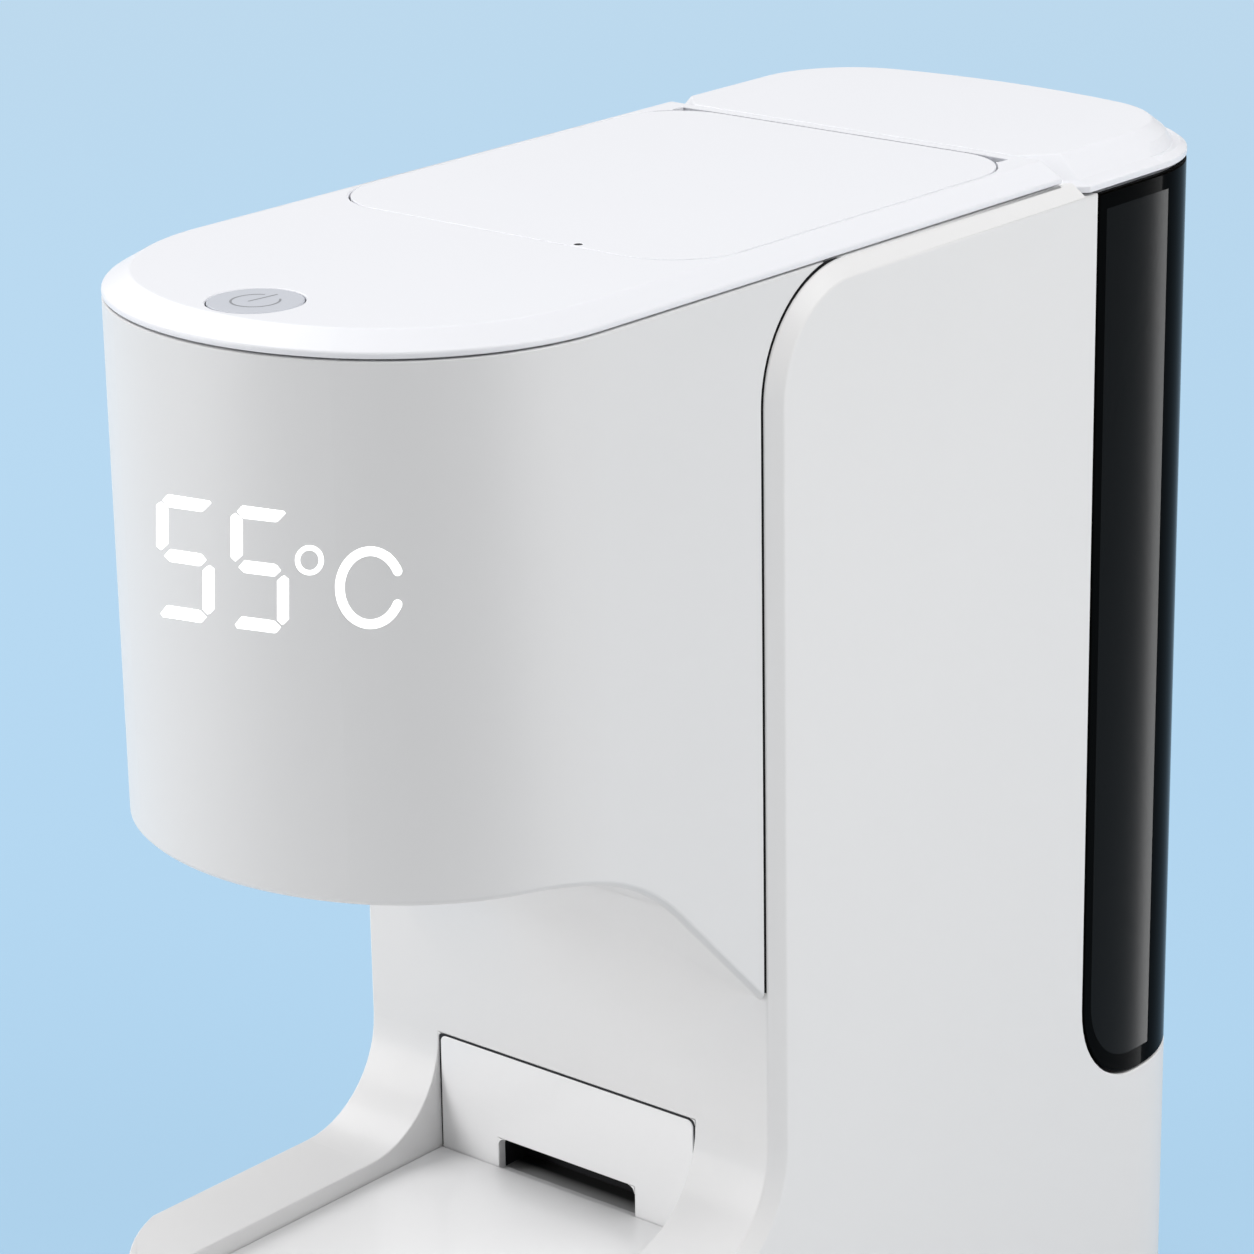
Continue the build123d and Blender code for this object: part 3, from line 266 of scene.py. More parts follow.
def add_node(tree, kind, **values):
    """A node with its inputs set by name."""
    node = tree.nodes.new(kind)
    for name, value in values.items():
        node.inputs[name.replace("_", " ")].default_value = value
    return node


def add_blend(tree, second, first=None):
    """A node that mixes two colours, of which the first may come from a link."""
    blend = tree.nodes.new("ShaderNodeMix")
    blend.data_type = "RGBA"
    blend.inputs["B"].default_value = (*second, 1.0)
    if first:
        blend.inputs["A"].default_value = (*first, 1.0)
    return blend


def add_operation(tree, kind, operation):
    """A node set to one operation."""
    node = tree.nodes.new(kind)
    node.operation = operation
    return node


def join(tree, source, output, target, entry):
    """Link one node's output to another's input, each by its name or number."""
    tree.links.new(source.outputs[output], target.inputs[entry])


def moulded(name, colour, roughness, grain=0.02, coat=0.0, variation=0.015, ior=1.46):
    """Moulded plastic: a fine grain in bump and roughness, and a faint drift of its colour."""
    material, tree, shader = new_material(name)
    shader.inputs["IOR"].default_value = ior
    shader.inputs["Coat Weight"].default_value = coat
    shader.inputs["Coat Roughness"].default_value = coat_roughness
    place = add_node(tree, "ShaderNodeTexCoord")
    fine = add_node(tree, "ShaderNodeTexNoise", Scale=grain_scale, Detail=3.0)
    broad = add_node(tree, "ShaderNodeTexNoise", Scale=drift_scale, Detail=2.0)
    darker = [c * (1 - variation) for c in colour]
    lighter = [min(1.0, c * (1 + variation)) for c in colour]
    tint = add_blend(tree, lighter, first=darker)
    low, high = roughness * (1 - moulded_spread), roughness * (1 + moulded_spread)
    spread = add_node(tree, "ShaderNodeMapRange", To_Min=low, To_Max=high)
    bump = add_node(tree, "ShaderNodeBump", Strength=grain, Distance=grain_depth)
    join(tree, place, "Object", fine, "Vector")
    join(tree, place, "Object", broad, "Vector")
    join(tree, broad, "Fac", tint, "Factor")
    join(tree, tint, "Result", shader, "Base Color")
    join(tree, fine, "Fac", spread, "Value")
    join(tree, spread, "Result", shader, "Roughness")
    join(tree, fine, "Fac", bump, "Height")
    join(tree, bump, "Normal", shader, "Normal")
    return material


def metal(name, colour, roughness):
    """Drawn steel with fine lines along its length."""
    material, tree, shader = new_material(name)
    shader.inputs["Metallic"].default_value = 1.0
    place = add_node(tree, "ShaderNodeTexCoord")
    stretch = add_node(tree, "ShaderNodeMapping", Scale=brushed_scale)
    lines = add_node(tree, "ShaderNodeTexNoise", Scale=1.0, Detail=3.0)
    tint = add_blend(tree, colour, first=[c * brushed_shade for c in colour])
    low, high = roughness * (1 - brushed_spread), roughness * (1 + brushed_spread)
    spread = add_node(tree, "ShaderNodeMapRange", To_Min=low, To_Max=high)
    join(tree, place, "Object", stretch, "Vector")
    join(tree, stretch, "Vector", lines, "Vector")
    join(tree, lines, "Fac", tint, "Factor")
    join(tree, tint, "Result", shader, "Base Color")
    join(tree, lines, "Fac", spread, "Value")
    join(tree, spread, "Result", shader, "Roughness")
    return material


def glowing(name, colour, strength):
    """Light that shines through the shell, a little uneven from place to place."""
    material, tree, shader = new_material(name)
    shader.inputs["Base Color"].default_value = (*colour, 1.0)
    shader.inputs["Roughness"].default_value = glow_roughness
    shader.inputs["Emission Color"].default_value = (*colour, 1.0)
    place = add_node(tree, "ShaderNodeTexCoord")
    drift = add_node(tree, "ShaderNodeTexNoise", Scale=glow_scale, Detail=1.0)
    low, high = strength * (1 - glow_spread), strength * (1 + glow_spread)
    spread = add_node(tree, "ShaderNodeMapRange", To_Min=low, To_Max=high)
    join(tree, place, "Object", drift, "Vector")
    join(tree, drift, "Fac", spread, "Value")
    join(tree, spread, "Result", shader, "Emission Strength")
    return material


def pocket_floor():
    """The floor of the finger space, with painted shade that darkens it towards its back."""
    material, tree, shader = new_material("pocket_painted_shade_plastic")
    shader.inputs["Roughness"].default_value = pocket_roughness
    place = add_node(tree, "ShaderNodeTexCoord")
    axes = add_node(tree, "ShaderNodeSeparateXYZ")
    start, end = (pocket_y[0] + depth for depth in pocket_shade_fade)
    span = add_node(tree, "ShaderNodeMapRange", From_Min=start, From_Max=end)
    tint = add_blend(tree, pocket_painted_shade, first=pocket_light)
    join(tree, place, "Object", axes, "Vector")
    join(tree, axes, "Y", span, "Value")
    join(tree, span, "Result", tint, "Factor")
    join(tree, tint, "Result", shader, "Base Color")
    return material


def stage_material():
    """Pale blue for the camera, with the object's shadow kept, and a light neutral bounce."""
    material, tree, shader = new_material("pale_floor")
    tree.nodes.remove(shader)
    place = add_node(tree, "ShaderNodeTexCoord")
    away = add_operation(tree, "ShaderNodeVectorMath", "DOT_PRODUCT")
    away.inputs[1].default_value = (camera_ahead[0], camera_ahead[1], 0.0)
    near, far = backdrop_span
    span = add_node(tree, "ShaderNodeMapRange", From_Min=near, From_Max=far)
    tint = add_blend(tree, backdrop_far, first=backdrop_near)
    join(tree, place, "Object", away, 0)
    join(tree, away, "Value", span, "Value")
    join(tree, span, "Result", tint, "Factor")

    steady = add_node(tree, "ShaderNodeEmission", Strength=backdrop_steady)
    dim = add_blend(tree, backdrop_shaded)
    dim.blend_type = "MULTIPLY"
    dim.inputs["Factor"].default_value = 1.0
    shaded = add_node(tree, "ShaderNodeBsdfDiffuse")
    seen = add_node(tree, "ShaderNodeAddShader")
    join(tree, tint, "Result", steady, "Color")
    join(tree, tint, "Result", dim, "A")
    join(tree, dim, "Result", shaded, "Color")
    join(tree, steady, "Emission", seen, 0)
    join(tree, shaded, "BSDF", seen, 1)

    bounce = add_node(tree, "ShaderNodeBsdfDiffuse", Color=(*floor_bounce, 1.0))
    path = add_node(tree, "ShaderNodeLightPath")
    through = add_operation(tree, "ShaderNodeMath", "MAXIMUM")
    direct = add_operation(tree, "ShaderNodeMath", "MAXIMUM")
    choice = add_node(tree, "ShaderNodeMixShader")
    join(tree, path, "Is Glossy Ray", through, 0)
    join(tree, path, "Is Transmission Ray", through, 1)
    join(tree, path, "Is Camera Ray", direct, 0)
    join(tree, through, "Value", direct, 1)
    join(tree, direct, "Value", choice, "Fac")
    join(tree, bounce, "BSDF", choice, 1)
    join(tree, seen, "Shader", choice, 2)
    join(tree, choice, "Shader", tree.nodes["Material Output"], "Surface")
    return material


def add_floor():
    """The plain floor, which is all that shows behind the object."""
    mesh = bpy.data.meshes.new("floor")
    corners = [(-floor_reach, -floor_reach, 0), (floor_reach, -floor_reach, 0)]
    corners += [(floor_reach, floor_reach, 0), (-floor_reach, floor_reach, 0)]
    mesh.from_pydata(corners, [], [(0, 1, 2, 3)])
    floor = bpy.data.objects.new("floor", mesh)
    scene.collection.objects.link(floor)
    mesh.materials.append(stage_material())


def exact_normal(tree, given, place, facing):
    """The CAD surface's own normal at a place, read between the corners of its facet."""
    spot, _, face_index, _ = tree.find_nearest(place)
    face = given.polygons[face_index]
    corners = [given.vertices[v].co for v in face.vertices]
    shares = poly_3d_calc(corners, spot)
    normal = Vector((0.0, 0.0, 0.0))
    for share, corner in zip(shares, face.loop_indices):
        normal += share * given.corner_normals[corner].vector
    low, high = turned_normal
    if normal.length < least_normal or not low < normal.normalized().dot(facing) < high:
        return facing.copy()
    return normal.normalized()


def middle_way(normals):
    """The direction in the middle of some normals."""
    return sum(normals, Vector((0.0, 0.0, 0.0))).normalized()


def give_normals(mesh, given, kept, broken):
    """Broad faces keep the CAD surface's normals, and rounded edges turn smoothly between them."""
    places = [v.co for v in given.vertices]
    tree = BVHTree.FromPolygons(places, [tuple(p.vertices) for p in given.polygons])
    normals = [None] * len(mesh.loops)
    at_vertex = {}
    along = {}
    for index in broken:
        for vertex in mesh.polygons[index].vertices:
            along.setdefault(vertex, []).append(mesh.polygons[index].normal)
    for index in broken:
        for corner in mesh.polygons[index].loop_indices:
            vertex = mesh.loops[corner].vertex_index
            normals[corner] = middle_way(along[vertex])
            at_vertex.setdefault(vertex, []).append(normals[corner])
    for face in mesh.polygons:
        if not kept[face.index] or face.index in broken:
            continue
        for corner in face.loop_indices:
            vertex = mesh.loops[corner].vertex_index
            probe = mesh.vertices[vertex].co.lerp(face.center, probe_share)
            normals[corner] = exact_normal(tree, given, probe, face.normal)
            at_vertex.setdefault(vertex, []).append(normals[corner])
    for face in mesh.polygons:
        if kept[face.index] or face.index in broken:
            continue
        for corner in face.loop_indices:
            vertex = mesh.loops[corner].vertex_index
            around = at_vertex.get(vertex)
            normals[corner] = middle_way(around) if around else mesh.vertices[vertex].normal.copy()
    mesh.shade_smooth()
    mesh.normals_split_custom_set([tuple(normal) for normal in normals])


def sharp_edges(work, choice):
    """The sharp edges that a choice takes."""
    return [e for e in work.edges
            if e.is_manifold and e.calc_face_angle() > sharp_angle and choice(e)]


def softened(node, width, inset=0.0, reshape=None, broken=None, chamfer=0.0, spared=None):
    """A copy of a CAD node with its sharp edges rounded, which stands for the node.

    An inset draws the surface in, and a reshape moves its points. The edges that broken chooses
    get a chamfer before the rounding, and the edges that spared chooses stay sharp.
    """
    source = frame["nodes"][node]
    work = bmesh.new()
    work.from_mesh(source.data)
    bmesh.ops.remove_doubles(work, verts=work.verts, dist=weld_distance)
    bmesh.ops.dissolve_limit(work, angle_limit=flat_angle, verts=work.verts, edges=work.edges)
    if inset:
        work.normal_update()
        steps = [(v, v.normal * inset) for v in work.verts]
        for v, step in steps:
            v.co -= step
    if reshape:
        for v in work.verts:
            v.co = reshape(v.co)
    mark = work.faces.layers.int.new("broken")
    if broken:
        work.normal_update()
        cut = bmesh.ops.bevel(
            work,
            geom=sharp_edges(work, broken),
            offset=chamfer,
            segments=1,
            affect="EDGES",
            clamp_overlap=False,
        )
        for face in cut["faces"]:
            face[mark] = 1
    made = bmesh.ops.bevel(
        work,
        geom=sharp_edges(work, lambda edge: not (spared and spared(edge))),
        offset=width,
        offset_type="OFFSET",
        segments=bevel_segments,
        profile=round_profile,
        affect="EDGES",
        clamp_overlap=False,
    )
    work.faces.index_update()
    rounded = {face.index for face in made["faces"]}
    cut_faces = {face.index for face in work.faces if face[mark]} - rounded
    mesh = bpy.data.meshes.new(node + "_finish")
    work.to_mesh(mesh)
    work.free()
    for name in ("custom_normal", "sharp_edge", "sharp_face"):
        if name in mesh.attributes:
            mesh.attributes.remove(mesh.attributes[name])
    kept = [face.index not in rounded for face in mesh.polygons]
    give_normals(mesh, source.data, kept, cut_faces)
    piece = bpy.data.objects.new(node + "_finish", mesh)
    scene.collection.objects.link(piece)
    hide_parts(node)
    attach(piece, source["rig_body"])
    return piece


def place_piece(name, mesh, material, body):
    """A mesh as a piece, which rides on a body."""
    mesh.materials.append(material)
    piece = bpy.data.objects.new(name, mesh)
    scene.collection.objects.link(piece)
    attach(piece, body)
    return piece


def add_piece(name, points, faces, material, body, smooth=False):
    """A piece from points and faces."""
    mesh = bpy.data.meshes.new(name)
    mesh.from_pydata([tuple(p) for p in points], [], faces)
    mesh.validate()
    if smooth:
        mesh.shade_smooth()
    return place_piece(name, mesh, material, body)


def grid_faces(rows, columns, first=0):
    """Quads between rows of points."""
    faces = []
    for r in range(rows - 1):
        for c in range(columns - 1):
            a = first + r * columns + c
            faces.append((a, a + 1, a + columns + 1, a + columns))
    return faces


def paint(obj, material):
    """Give an object one material."""
    obj.data.materials.clear()
    obj.data.materials.append(material)


def nose_place(x, rise):
    """A place on the head's front surface, over a place across it, stood off by a rise."""
    turn = asin((head_half - head_corner_r) / (head_nose_r - head_corner_r))
    if abs(x) <= head_nose_r * sin(turn):
        middle, radius = Vector((0.0, head_nose_y + head_nose_r)), head_nose_r
    else:
        side = 1.0 if x > 0 else -1.0
        corner_y = head_nose_y + head_nose_r - (head_nose_r - head_corner_r) * cos(turn)
        middle, radius = Vector((side * (head_half - head_corner_r), corner_y)), head_corner_r
    y = middle.y - sqrt(radius ** 2 - (x - middle.x) ** 2)
    out = (Vector((x, y)) - middle).normalized()
    return Vector((x, y)) + out * rise


def on_nose(u, v, rise):
    """Where the line of sight through a place in the photograph meets the head's front."""
    focal = camera_lens / sensor_width * frame_side
    way = camera_turn() @ Vector(((u - frame_side / 2) / focal, (frame_side / 2 - v) / focal, -1.0))
    near, far = (head_half * share for share in search_shares)
    for _ in range(search_steps):
        x = (near + far) / 2
        reach = (x - camera_place.x) / way.x
        if camera_place.y + reach * way.y < nose_place(x, 0.0).y:
            far = x
        else:
            near = x
    reach = (x - camera_place.x) / way.x
    spot = nose_place(x, rise)
    return Vector((spot.x, spot.y, camera_place.z + reach * way.z))


def bar_columns(corners):
    """A convex figure in the photograph as rows of columns, so that it can follow a curve."""
    low = min(u for u, v in corners)
    high = max(u for u, v in corners)
    count = max(2, int((high - low) / bar_step))
    rows = []
    for i in range(count + 1):
        u = low + (high - low) * min(max(i / count, bar_end_share), 1 - bar_end_share)
        cuts = []
        for (u0, v0), (u1, v1) in zip(corners, corners[1:] + corners[:1]):
            if (u0 - u) * (u1 - u) <= 0 and u0 != u1:
                cuts.append(v0 + (v1 - v0) * (u - u0) / (u1 - u0))
        rows.append((u, min(cuts), max(cuts)))
    return rows


def digit_bars(left, top, slope):
    """The five bars of a figure five, as leaning outlines in the photograph."""
    return [[(left + i, top + j + slope * i) for i, j in outline] for outline in bar_outlines]


def ring_places(centre, reach, line, start, end, count):
    """Rows of inner, middle and outer places along part of an ellipse in the photograph."""
    rows = []
    for i in range(count + 1):
        turn = start + (end - start) * i / count
        row = []
        for back in (line, line / 2, 0.0):
            u = centre[0] + (reach[0] - back) * cos(turn)
            v = centre[1] - (reach[1] - back) * sin(turn)
            row.append((u, v))
        rows.append(row)
    return rows


def round_end(centre, reach, line, turn, way):
    """The middle and the rim of a half disc that ends the letter's stroke."""
    u = centre[0] + (reach[0] - line / 2) * cos(turn)
    v = centre[1] - (reach[1] - line / 2) * sin(turn)
    heading = atan2(reach[0] * sin(turn), reach[1] * cos(turn))
    rim = []
    for i in range(stroke_end_steps + 1):
        a = heading + way * pi * i / stroke_end_steps
        rim.append((u + line / 2 * cos(a), v - line / 2 * sin(a)))
    return (u, v), rim


def add_figures(material):
    """The lit temperature figures, which shine through the head's front."""
    points, faces = [], []

    def add_strip(rows):
        first = len(points)
        for row in rows:
            points.extend(on_nose(u, v, figure_rise) for u, v in row)
        faces.extend(grid_faces(len(rows), len(rows[0]), first))

    for left, top, slope in zip(digit_left, digit_top, digit_slope):
        for corners in digit_bars(left, top, slope):
            columns = bar_columns(corners)
            add_strip([((u, low), (u, (low + high) / 2), (u, high)) for u, low, high in columns])
    add_strip(ring_places(degree_centre, degree_reach, degree_line, 0.0, 2 * pi, degree_steps))
    start, end = letter_mouth, 2 * pi - letter_mouth
    add_strip(ring_places(letter_centre, letter_reach, letter_line, start, end, letter_steps))
    for turn, way in ((start, -1), (end, 1)):
        middle, rim = round_end(letter_centre, letter_reach, letter_line, turn, way)
        first = len(points)
        points.append(on_nose(*middle, figure_rise))
        points.extend(on_nose(u, v, figure_rise) for u, v in rim)
        faces.extend((first, first + i, first + i + 1) for i in range(1, len(rim)))
    figures = add_piece("display_figures", points, faces, material, "body", smooth=True)
    plate = figures.modifiers.new("plate", "SOLIDIFY")
    plate.thickness = figure_rise
    plate.offset = 1.0 if figures.data.polygons[0].normal.y > 0 else -1.0


def add_tail_fillet(material):
    """The sloping underside of the head, which runs into the column in a hollow curve."""
    full_r, end_r, fade = 62.0 * mm, 1.0 * mm, 30.0 * mm
    columns, slope_rows, steps = 72, 6, 18
    turn = pi / 2 - tail_slope
    slope_out = Vector((0.0, -sin(tail_slope), -cos(tail_slope)))
    points, normals = [], []
    for i in range(columns + 1):
        x = head_inner_half * (2 * i / columns - 1)
        share = min(1.0, (head_inner_half - abs(x)) / fade)
        radius = end_r + (full_r - end_r) * share * share * (3 - 2 * share)
        middle_y = column_y - radius
        middle_z = floor_end_z - radius * tan(turn / 2)
        start_y = middle_y + radius * cos(turn)
        for j in range(slope_rows):
            y = tail_bend_y + (start_y - tail_bend_y) * j / slope_rows
            z = floor_end_z + (column_y - y) * tan(tail_slope)
            points.append(Vector((x, y, z)) + slope_out * skin_rise)
            normals.append(slope_out)
        for j in range(steps + 1):
            a = turn * (1 - j / steps)
            out = Vector((0.0, -cos(a), -sin(a)))
            y, z = middle_y + radius * cos(a), middle_z + radius * sin(a)
            points.append(Vector((x, y, z)) + out * skin_rise)
            normals.append(out)
    faces = grid_faces(columns + 1, slope_rows + steps + 1)
    fillet = add_piece("tail_fillet", points, faces, material, "body", smooth=True)
    fillet.data.normals_split_custom_set_from_vertices([tuple(n) for n in normals])


def seam_line(gap, high):
    """Places along the housing's front edge, up the column and over the shoulder, up to a height."""
    low_z, middle_z, steps = 175.0 * mm, 250.0 * mm, 16
    ahead = Vector((-1.0, 0.0))
    places = [Vector((column_y, z)) + ahead * gap for z in (low_z, middle_z, shoulder_z)]
    for i in range(1, steps + 1):
        a = pi / 2 * i / steps
        out = Vector((-cos(a), sin(a)))
        places.append(Vector((shoulder_y, shoulder_z)) + shoulder_r * out + out * gap)
    for place in places:
        place.y = min(place.y, high)
    return places


def add_seam_shade_strip(material):
    """A dark strip in the seam between the head and the housing, which paints the shade in the gap."""
    high = head_top_z - 0.1 * mm
    near, far = seam_line(0.04 * mm, high), seam_line(2.0 * mm, high)
    outer_x, inner_x = head_half - 0.15 * mm, head_half - 0.9 * mm
    points, faces = [], []
    for side in (1, -1):
        first = len(points)
        for close, away in zip(near, far):
            points.append((side * outer_x, close.x, close.y))
            points.append((side * inner_x, close.x, close.y))
            points.append((side * inner_x, away.x, away.y))
        faces += grid_faces(len(near), 3, first)
    add_piece("seam_shade_strip", points, faces, material, "body")


def add_panel_seam_shade(material):
    """A dark sheet behind the gap round the tray's panel, which paints the shade in the gap."""
    half, top, low = opening_half - 0.05 * mm, opening_top_z - 0.05 * mm, 98.2 * mm
    inner_half, inner_top = 44.0 * mm, top - 1.5 * mm
    y = column_y + 0.25 * mm
    points = []
    for x, z in ((-half, low), (-half, top), (half, top), (half, low)):
        points.append((x, y, z))
        points.append((x * inner_half / half, y, min(z, inner_top)))
    add_piece("panel_seam_shade", points, grid_faces(4, 2), material, "body")


def add_corner_fillets(name, half, top, radius, depth, material, body):
    """Two small fillets that round an opening's upper corners, flush with the column's face."""
    overlap, steps = 0.05 * mm, 8
    front_y = column_y + column_rise
    points, faces = [], []
    for side in (1, -1):
        first = len(points)
        points.append((side * (half + overlap), front_y, top + overlap))
        for y in (front_y, front_y + depth):
            for i in range(steps + 1):
                a = pi / 2 * i / steps
                x, z = half - radius + radius * cos(a), top - radius + radius * sin(a)
                points.append((side * x, y, z))
        near, far = first + 1, first + 2 + steps
        faces += [(first, near + i, near + i + 1) for i in range(steps)]
        faces += [(near + i, far + i, far + i + 1, near + i + 1) for i in range(steps)]
    add_piece(name, points, faces, material, body)


def add_vent_shade_disc(material):
    """A dark disc at the bottom of the lid's vent hole, which paints the shade in the hole."""
    radius, depth, steps = 1.3 * mm, 0.15 * mm, 20
    rim = []
    for i in range(steps):
        a = 2 * pi * i / steps
        rim.append((vent_place[0] + radius * cos(a), vent_place[1] + radius * sin(a), top_z - depth))
    add_piece("vent_shade_disc", rim, [tuple(range(steps))], material, "lid")


def add_tank_windows(material):
    """The clearer middle of the tank's sides, inside its black border."""
    border, foot, head, rear_y = 3.6 * mm, 6.2 * mm, 4.6 * mm, 131.0 * mm
    low_z, high_z = tank_low_z + foot, tank_high_z - head
    front_y, radius, steps = tank_front_y + border, tank_corner_r - foot, 12
    rows = [front_y + radius * (1 - cos(pi / 2 * i / steps)) for i in range(steps + 1)]
    rows = [y for y in rows if y < rear_y - 1.0 * mm] + [rear_y]
    points, faces = [], []
    for side in (1, -1):
        first = len(points)
        x = side * (body_half - 0.02 * mm)
        for y in rows:
            lift = radius - sqrt(max(0.0, radius ** 2 - max(0.0, front_y + radius - y) ** 2))
            for share in (0.0, 0.5, 1.0):
                points.append((x, y, low_z + lift + (high_z - low_z - lift) * share))
        faces += grid_faces(len(rows), 3, first)
    return add_piece("tank_windows", points, faces, material, "tank")


def add_corner_infill(material):
    """The housing's shoulder beside the cap's slanted front corners."""
    inner, edge, side_x, front = 64.9 * mm, 69.96 * mm, 72.62 * mm, 83.6 * mm
    low, high = 357.9 * mm, head_top_z - 0.03 * mm
    cut_y, cut_slope = 84.3 * mm, 1.048
    round_y, round_z, round_r = 89.0 * mm, 360.0 * mm, 0.4 * mm
    cut = {x: cut_y + (x - inner) * cut_slope for x in (inner, edge, side_x)}
    foot = [(inner, front), (side_x, front), (side_x, cut[side_x]), (inner, cut[inner])]
    rim = [(inner, front), (edge, front), (edge, cut[edge]), (inner, cut[inner])]
    mesh = bpy.data.meshes.new("shoulder_infill")
    work = bmesh.new()
    for side in (1, -1):
        below = [work.verts.new((side * x, y, low)) for x, y in foot]
        above = [work.verts.new((side * x, y, high)) for x, y in rim]
        work.faces.new(below)
        work.faces.new(above[::-1])
        for i in range(4):
            j = (i + 1) % 4
            work.faces.new((below[j], below[i], above[i], above[j]))
    bmesh.ops.recalc_face_normals(work, faces=work.faces)
    edges = [e for e in work.edges if max(v.co.y for v in e.verts) > round_y
             and max(v.co.z for v in e.verts) > round_z]
    bmesh.ops.bevel(work, geom=edges, offset=round_r, segments=bevel_segments,
                    profile=round_profile, affect="EDGES")
    work.to_mesh(mesh)
    work.free()
    place_piece("shoulder_infill", mesh, material, "body")


def add_button_mark(material):
    """The power mark: an open ring with a bar through its opening."""
    z = top_z - 0.01 * mm
    outer, line = 6.1 * mm, 0.55 * mm
    start, end, steps = radians(112), radians(413), 48
    low, high = Vector((-0.9 * mm, -1.5 * mm)), Vector((0.1 * mm, 7.3 * mm))
    points = []
    for i in range(steps + 1):
        a = start + (end - start) * i / steps
        for r in (outer - line, outer):
            points.append((r * cos(a), button_y + r * sin(a), z))
    faces = grid_faces(steps + 1, 2)
    first = len(points)
    aside = Vector((high.y - low.y, low.x - high.x)).normalized() * line / 2
    for place in (low - aside, low + aside, high + aside, high - aside):
        points.append((place.x, button_y + place.y, z))
    faces.append((first, first + 1, first + 2, first + 3))
    add_piece("power_mark", points, faces, material, "button")


def add_button_bezel(material):
    """A fine bright bead round the button."""
    ring_r, bead_r, middle_z = button_r + 0.62 * mm, 0.26 * mm, top_z - 0.28 * mm
    around, across = 96, 8
    points, faces = [], []
    for i in range(around):
        a = 2 * pi * i / around
        for j in range(across):
            b = 2 * pi * j / across
            r = ring_r + bead_r * cos(b)
            points.append((r * cos(a), button_y + r * sin(a), middle_z + bead_r * sin(b)))
    for i in range(around):
        for j in range(across):
            here, onward, k = i * across, (i + 1) % around * across, (j + 1) % across
            faces.append((here + j, onward + j, onward + k, here + k))
    add_piece("button_bezel", points, faces, material, "body", smooth=True)


def add_pocket_floor(material):
    """The skin of the finger space's floor, which carries its painted shade."""
    half, z = pocket_half - pocket_inset, pocket_z[0] + pocket_inset
    front, rear = pocket_y[0] + 0.1 * mm, pocket_y[1] - pocket_inset
    points = [(-half, front, z), (half, front, z), (half, rear, z), (-half, rear, z)]
    add_piece("pocket_floor", points, [(0, 1, 2, 3)], material, "body")


def add_notch_shade_lining(material):
    """A dark lining of the finger space behind the tray's panel, which paints the shade in that hollow.
    """
    half = pocket_half - pocket_inset
    front, rear = pocket_y[0], pocket_y[1] - pocket_inset
    low, high = pocket_z[0] + 0.1 * mm, pocket_z[1] - pocket_inset
    section = [(-half, front, low), (-half, rear, low), (half, rear, low), (half, front, low)]
    points = section + [(x, y, high) for x, y, z in section]
    faces = [(0, 1, 5, 4), (1, 2, 6, 5), (2, 3, 7, 6), (4, 5, 6, 7)]
    add_piece("notch_shade_lining", points, faces, material, "body")


def shell_foot(edge):
    """Whether an edge is the outer one along the bottom of the head's shell."""
    steep = [f for f in edge.link_faces if abs(f.normal.z) < upright_limit]
    under = [f for f in edge.link_faces if f.normal.z < underside_limit]
    if len(steep) != 1 or len(under) != 1:
        return False
    middle = (edge.verts[0].co + edge.verts[1].co) / 2
    if middle.z > shoulder_z:
        return False
    from_middle = Vector((middle.x, min(0.0, middle.y - head_nose_y - head_nose_r), 0.0))
    return steep[0].normal.dot(from_middle) > 0


def cap_rest(edge):
    """Whether an edge lies on the housing's narrow shoulder under the cap, too narrow to be rounded."""
    x, y, z = 69.9 * mm, 84.1 * mm, 357.3 * mm
    return all(abs(v.co.x) > x and v.co.y > y and v.co.z > z for v in edge.verts)


def hinge_corner(edge):
    """Whether an edge is one of the short ones where the hatch's corners meet its hinge cut."""
    x, front, rear, z, longest = 40.0 * mm, 70.0 * mm, 82.0 * mm, 360.0 * mm, 3.0 * mm
    near = all(abs(v.co.x) > x and front < v.co.y < rear and v.co.z > z for v in edge.verts)
    return near and edge.calc_length() < longest


def cap_reshape(place):
    """The cap's ledge lies flatter, so that a step shows below its sloping rim."""
    ledge_z, flatter_z, slack = 363.3 * mm, 361.7 * mm, 0.1 * mm
    if abs(place.z - ledge_z) < slack:
        return Vector((place.x, place.y, flatter_z))
    return place


def tray_reshape(place):
    """The panel is a little smaller than its opening, for the gap round it."""
    gap, slack = 0.35 * mm, 0.1 * mm
    foot_z, side_x, upper_z = 99.0 * mm, 40.0 * mm, 125.0 * mm
    if place.y < column_y - slack or place.z < foot_z:
        return place
    aside = gap if place.x > side_x else -gap if place.x < -side_x else 0.0
    return place - Vector((aside, 0.0, gap if place.z > upper_z else 0.0))


def lid_reshape(place):
    """The lid's front edge closes up to the cover between its corners."""
    step, fade, corner_x = 0.40 * mm, 12.0 * mm, 54.0 * mm
    if place.y > lid_front_y + fade:
        return place
    share = min(1.0, max(0.0, (corner_x - abs(place.x)) / fade))
    return place - Vector((0.0, step * share, 0.0))


# Stage, lamps and camera
tank_pieces = bpy.data.collections.new("tank_pieces")
add_camera()
add_lights(tank_pieces)
add_sky()
add_floor()

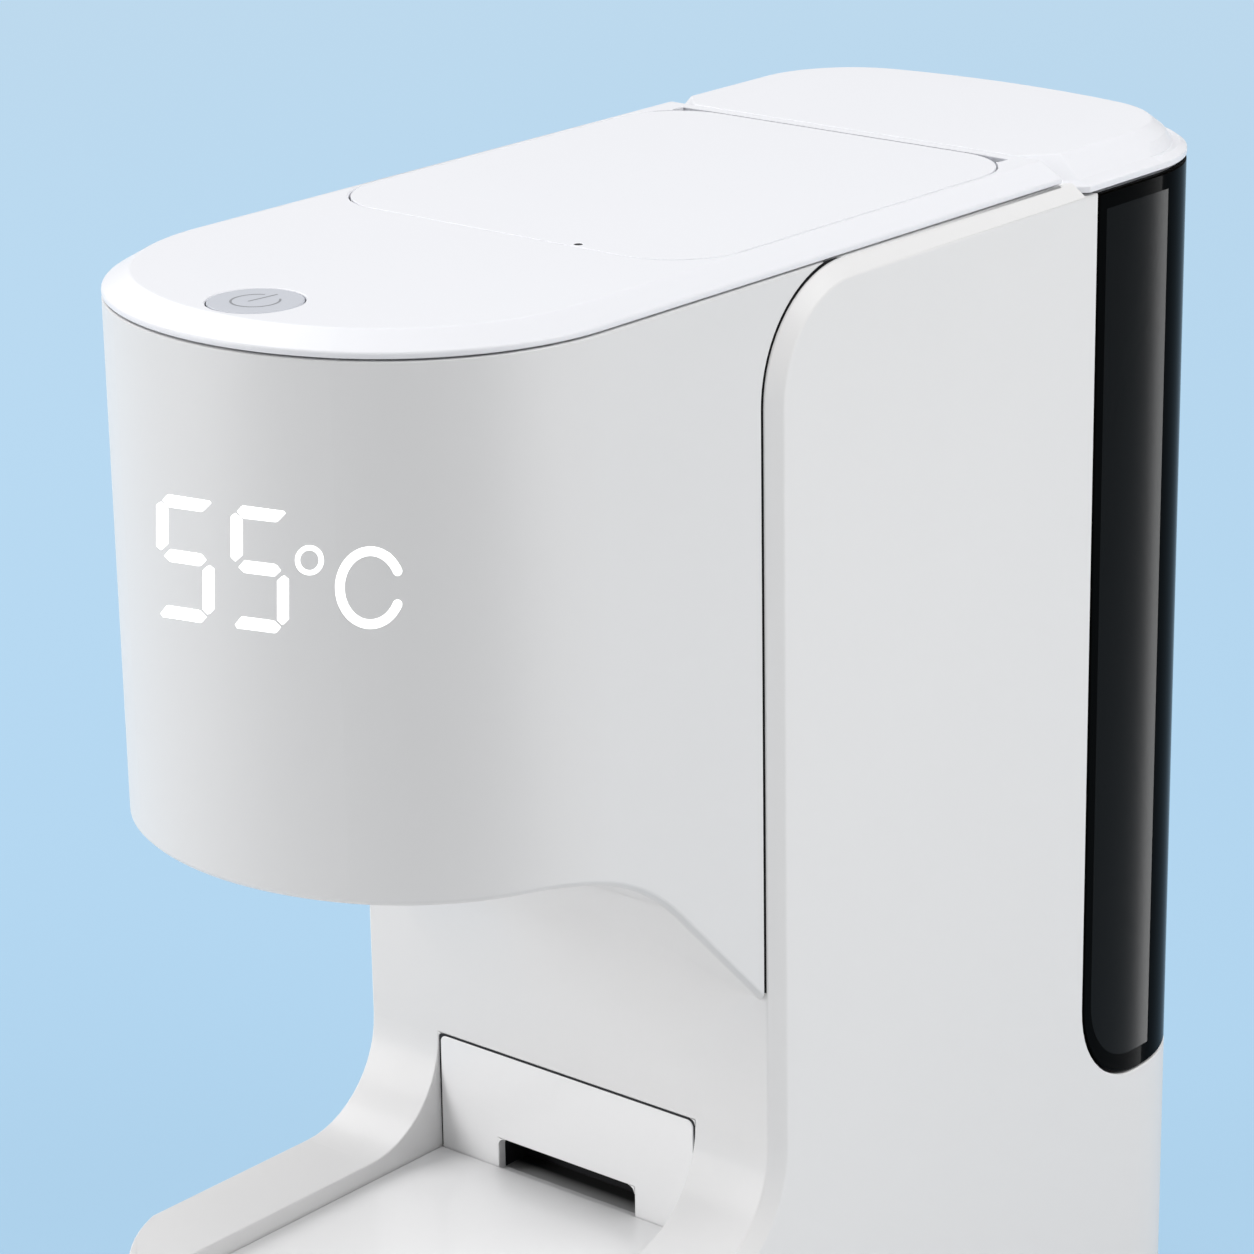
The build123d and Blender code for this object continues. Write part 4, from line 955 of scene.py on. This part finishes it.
# Materials
white_body = moulded("white_body_plastic", (0.762, 0.760, 0.762), roughness=0.44, coat=0.1)
white_tray = moulded("white_tray_plastic", (0.860, 0.860, 0.865), roughness=0.38, coat=0.3)
white_head = moulded("white_head_plastic", (0.722, 0.721, 0.725), roughness=0.36)
white_cover = moulded("white_cover_plastic", (0.782, 0.790, 0.825), roughness=0.4, coat=0.1)
smoked = moulded("smoked_tank_plastic", (0.0010, 0.0008, 0.0006),
                 roughness=0.12, variation=0.1, ior=1.05)
smoked_clear = moulded("smoked_window_plastic", (0.0042, 0.0037, 0.0031),
                       roughness=0.11, variation=0.1, ior=1.1)
button_face = moulded("button_plastic", (0.535, 0.555, 0.605), roughness=0.35)
mark_grey = moulded("mark_plastic", (0.26, 0.27, 0.29), roughness=0.45)
light_plastic = moulded("light_grey_plastic", (0.62, 0.63, 0.64), roughness=0.45)
dark_plastic = moulded("dark_plastic", (0.03, 0.03, 0.032), roughness=0.4)
# A black for painted shade, on pieces put where hollows and gaps lie in shade
painted_shade_black = moulded("painted_shade_plastic", (0.022, 0.022, 0.024), roughness=0.55, ior=1.3)
silicone = moulded("grey_silicone", (0.55, 0.56, 0.57), roughness=0.5)
rubber = moulded("foot_rubber", (0.03, 0.03, 0.03), roughness=0.7, grain=0.1)
steel = metal("drawn_steel", (0.60, 0.60, 0.61), roughness=0.28)
sheet_steel = metal("frame_steel_sheet", (0.50, 0.51, 0.52), roughness=0.42)
board_green = moulded("board_lacquer", (0.02, 0.12, 0.05), roughness=0.3, variation=0.1)
lit = glowing("display_light", (1.0, 1.0, 1.0), strength=1.0)

# The material of each of the record's slots
finishes = {
    "white_body": white_body,
    "white_head": white_head,
    "white_cover": white_cover,
    "smoked_tank": smoked,
    "button_face": button_face,
    "white_tray": white_tray,
    "light_plastic": light_plastic,
    "dark_plastic": dark_plastic,
    "silicone": silicone,
    "rubber_foot": rubber,
    "steel": steel,
    "frame_steel": sheet_steel,
    "board": board_green,
}

# The nodes that get softened edges, and how
edge_finish = {
    "main_housing": {"width": 0.5 * mm, "spared": cap_rest},
    "head_shell": {"width": 0.5 * mm, "broken": shell_foot, "chamfer": 1.3 * mm},
    "top_cover": {"width": 0.5 * mm, "spared": hinge_corner},
    "hatch_lid": {"width": 0.3 * mm, "reshape": lid_reshape},
    "tank_cap": {"width": 0.35 * mm, "reshape": cap_reshape},
    "water_tank": {"width": 0.4 * mm, "inset": 0.08 * mm},
    "drip_tray": {"width": 0.4 * mm, "reshape": tray_reshape},
    "drip_plate": {"width": 0.3 * mm},
    "power_button": {"width": 0.3 * mm, "inset": 0.05 * mm},
    "head_floor": {"width": 0.3 * mm},
}
slot_of = {part["node"]: part["material_slot"] for part in frame["record"]["subparts"]}
for node, solid in frame["nodes"].items():
    finish = finishes[slot_of[node]]
    paint(solid, finish)
    if node in edge_finish:
        piece = softened(node, **edge_finish[node])
        paint(piece, finish)

# Pieces that only the scene has
add_figures(lit)
add_tail_fillet(white_body)
windows = add_tank_windows(smoked_clear)
add_corner_infill(white_body)
add_button_mark(mark_grey)
add_button_bezel(white_cover)
# Painted shade in the finger space: a dark lining, and a floor that darkens towards its back
add_notch_shade_lining(painted_shade_black)
add_pocket_floor(pocket_floor())
add_corner_fillets("panel_corners", half=opening_half, top=opening_top_z, radius=1.6 * mm,
                   depth=0.4 * mm, material=white_body, body="body")
add_corner_fillets("notch_corners", half=notch_half, top=notch_top_z, radius=2.2 * mm,
                   depth=2.8 * mm, material=white_tray, body="tray")
# Painted shade in the head's seam, the gap round the panel and the vent hole
add_seam_shade_strip(painted_shade_black)
add_panel_seam_shade(painted_shade_black)
add_vent_shade_disc(painted_shade_black)

for piece in (windows, bpy.data.objects["water_tank_finish"]):
    tank_pieces.objects.link(piece)
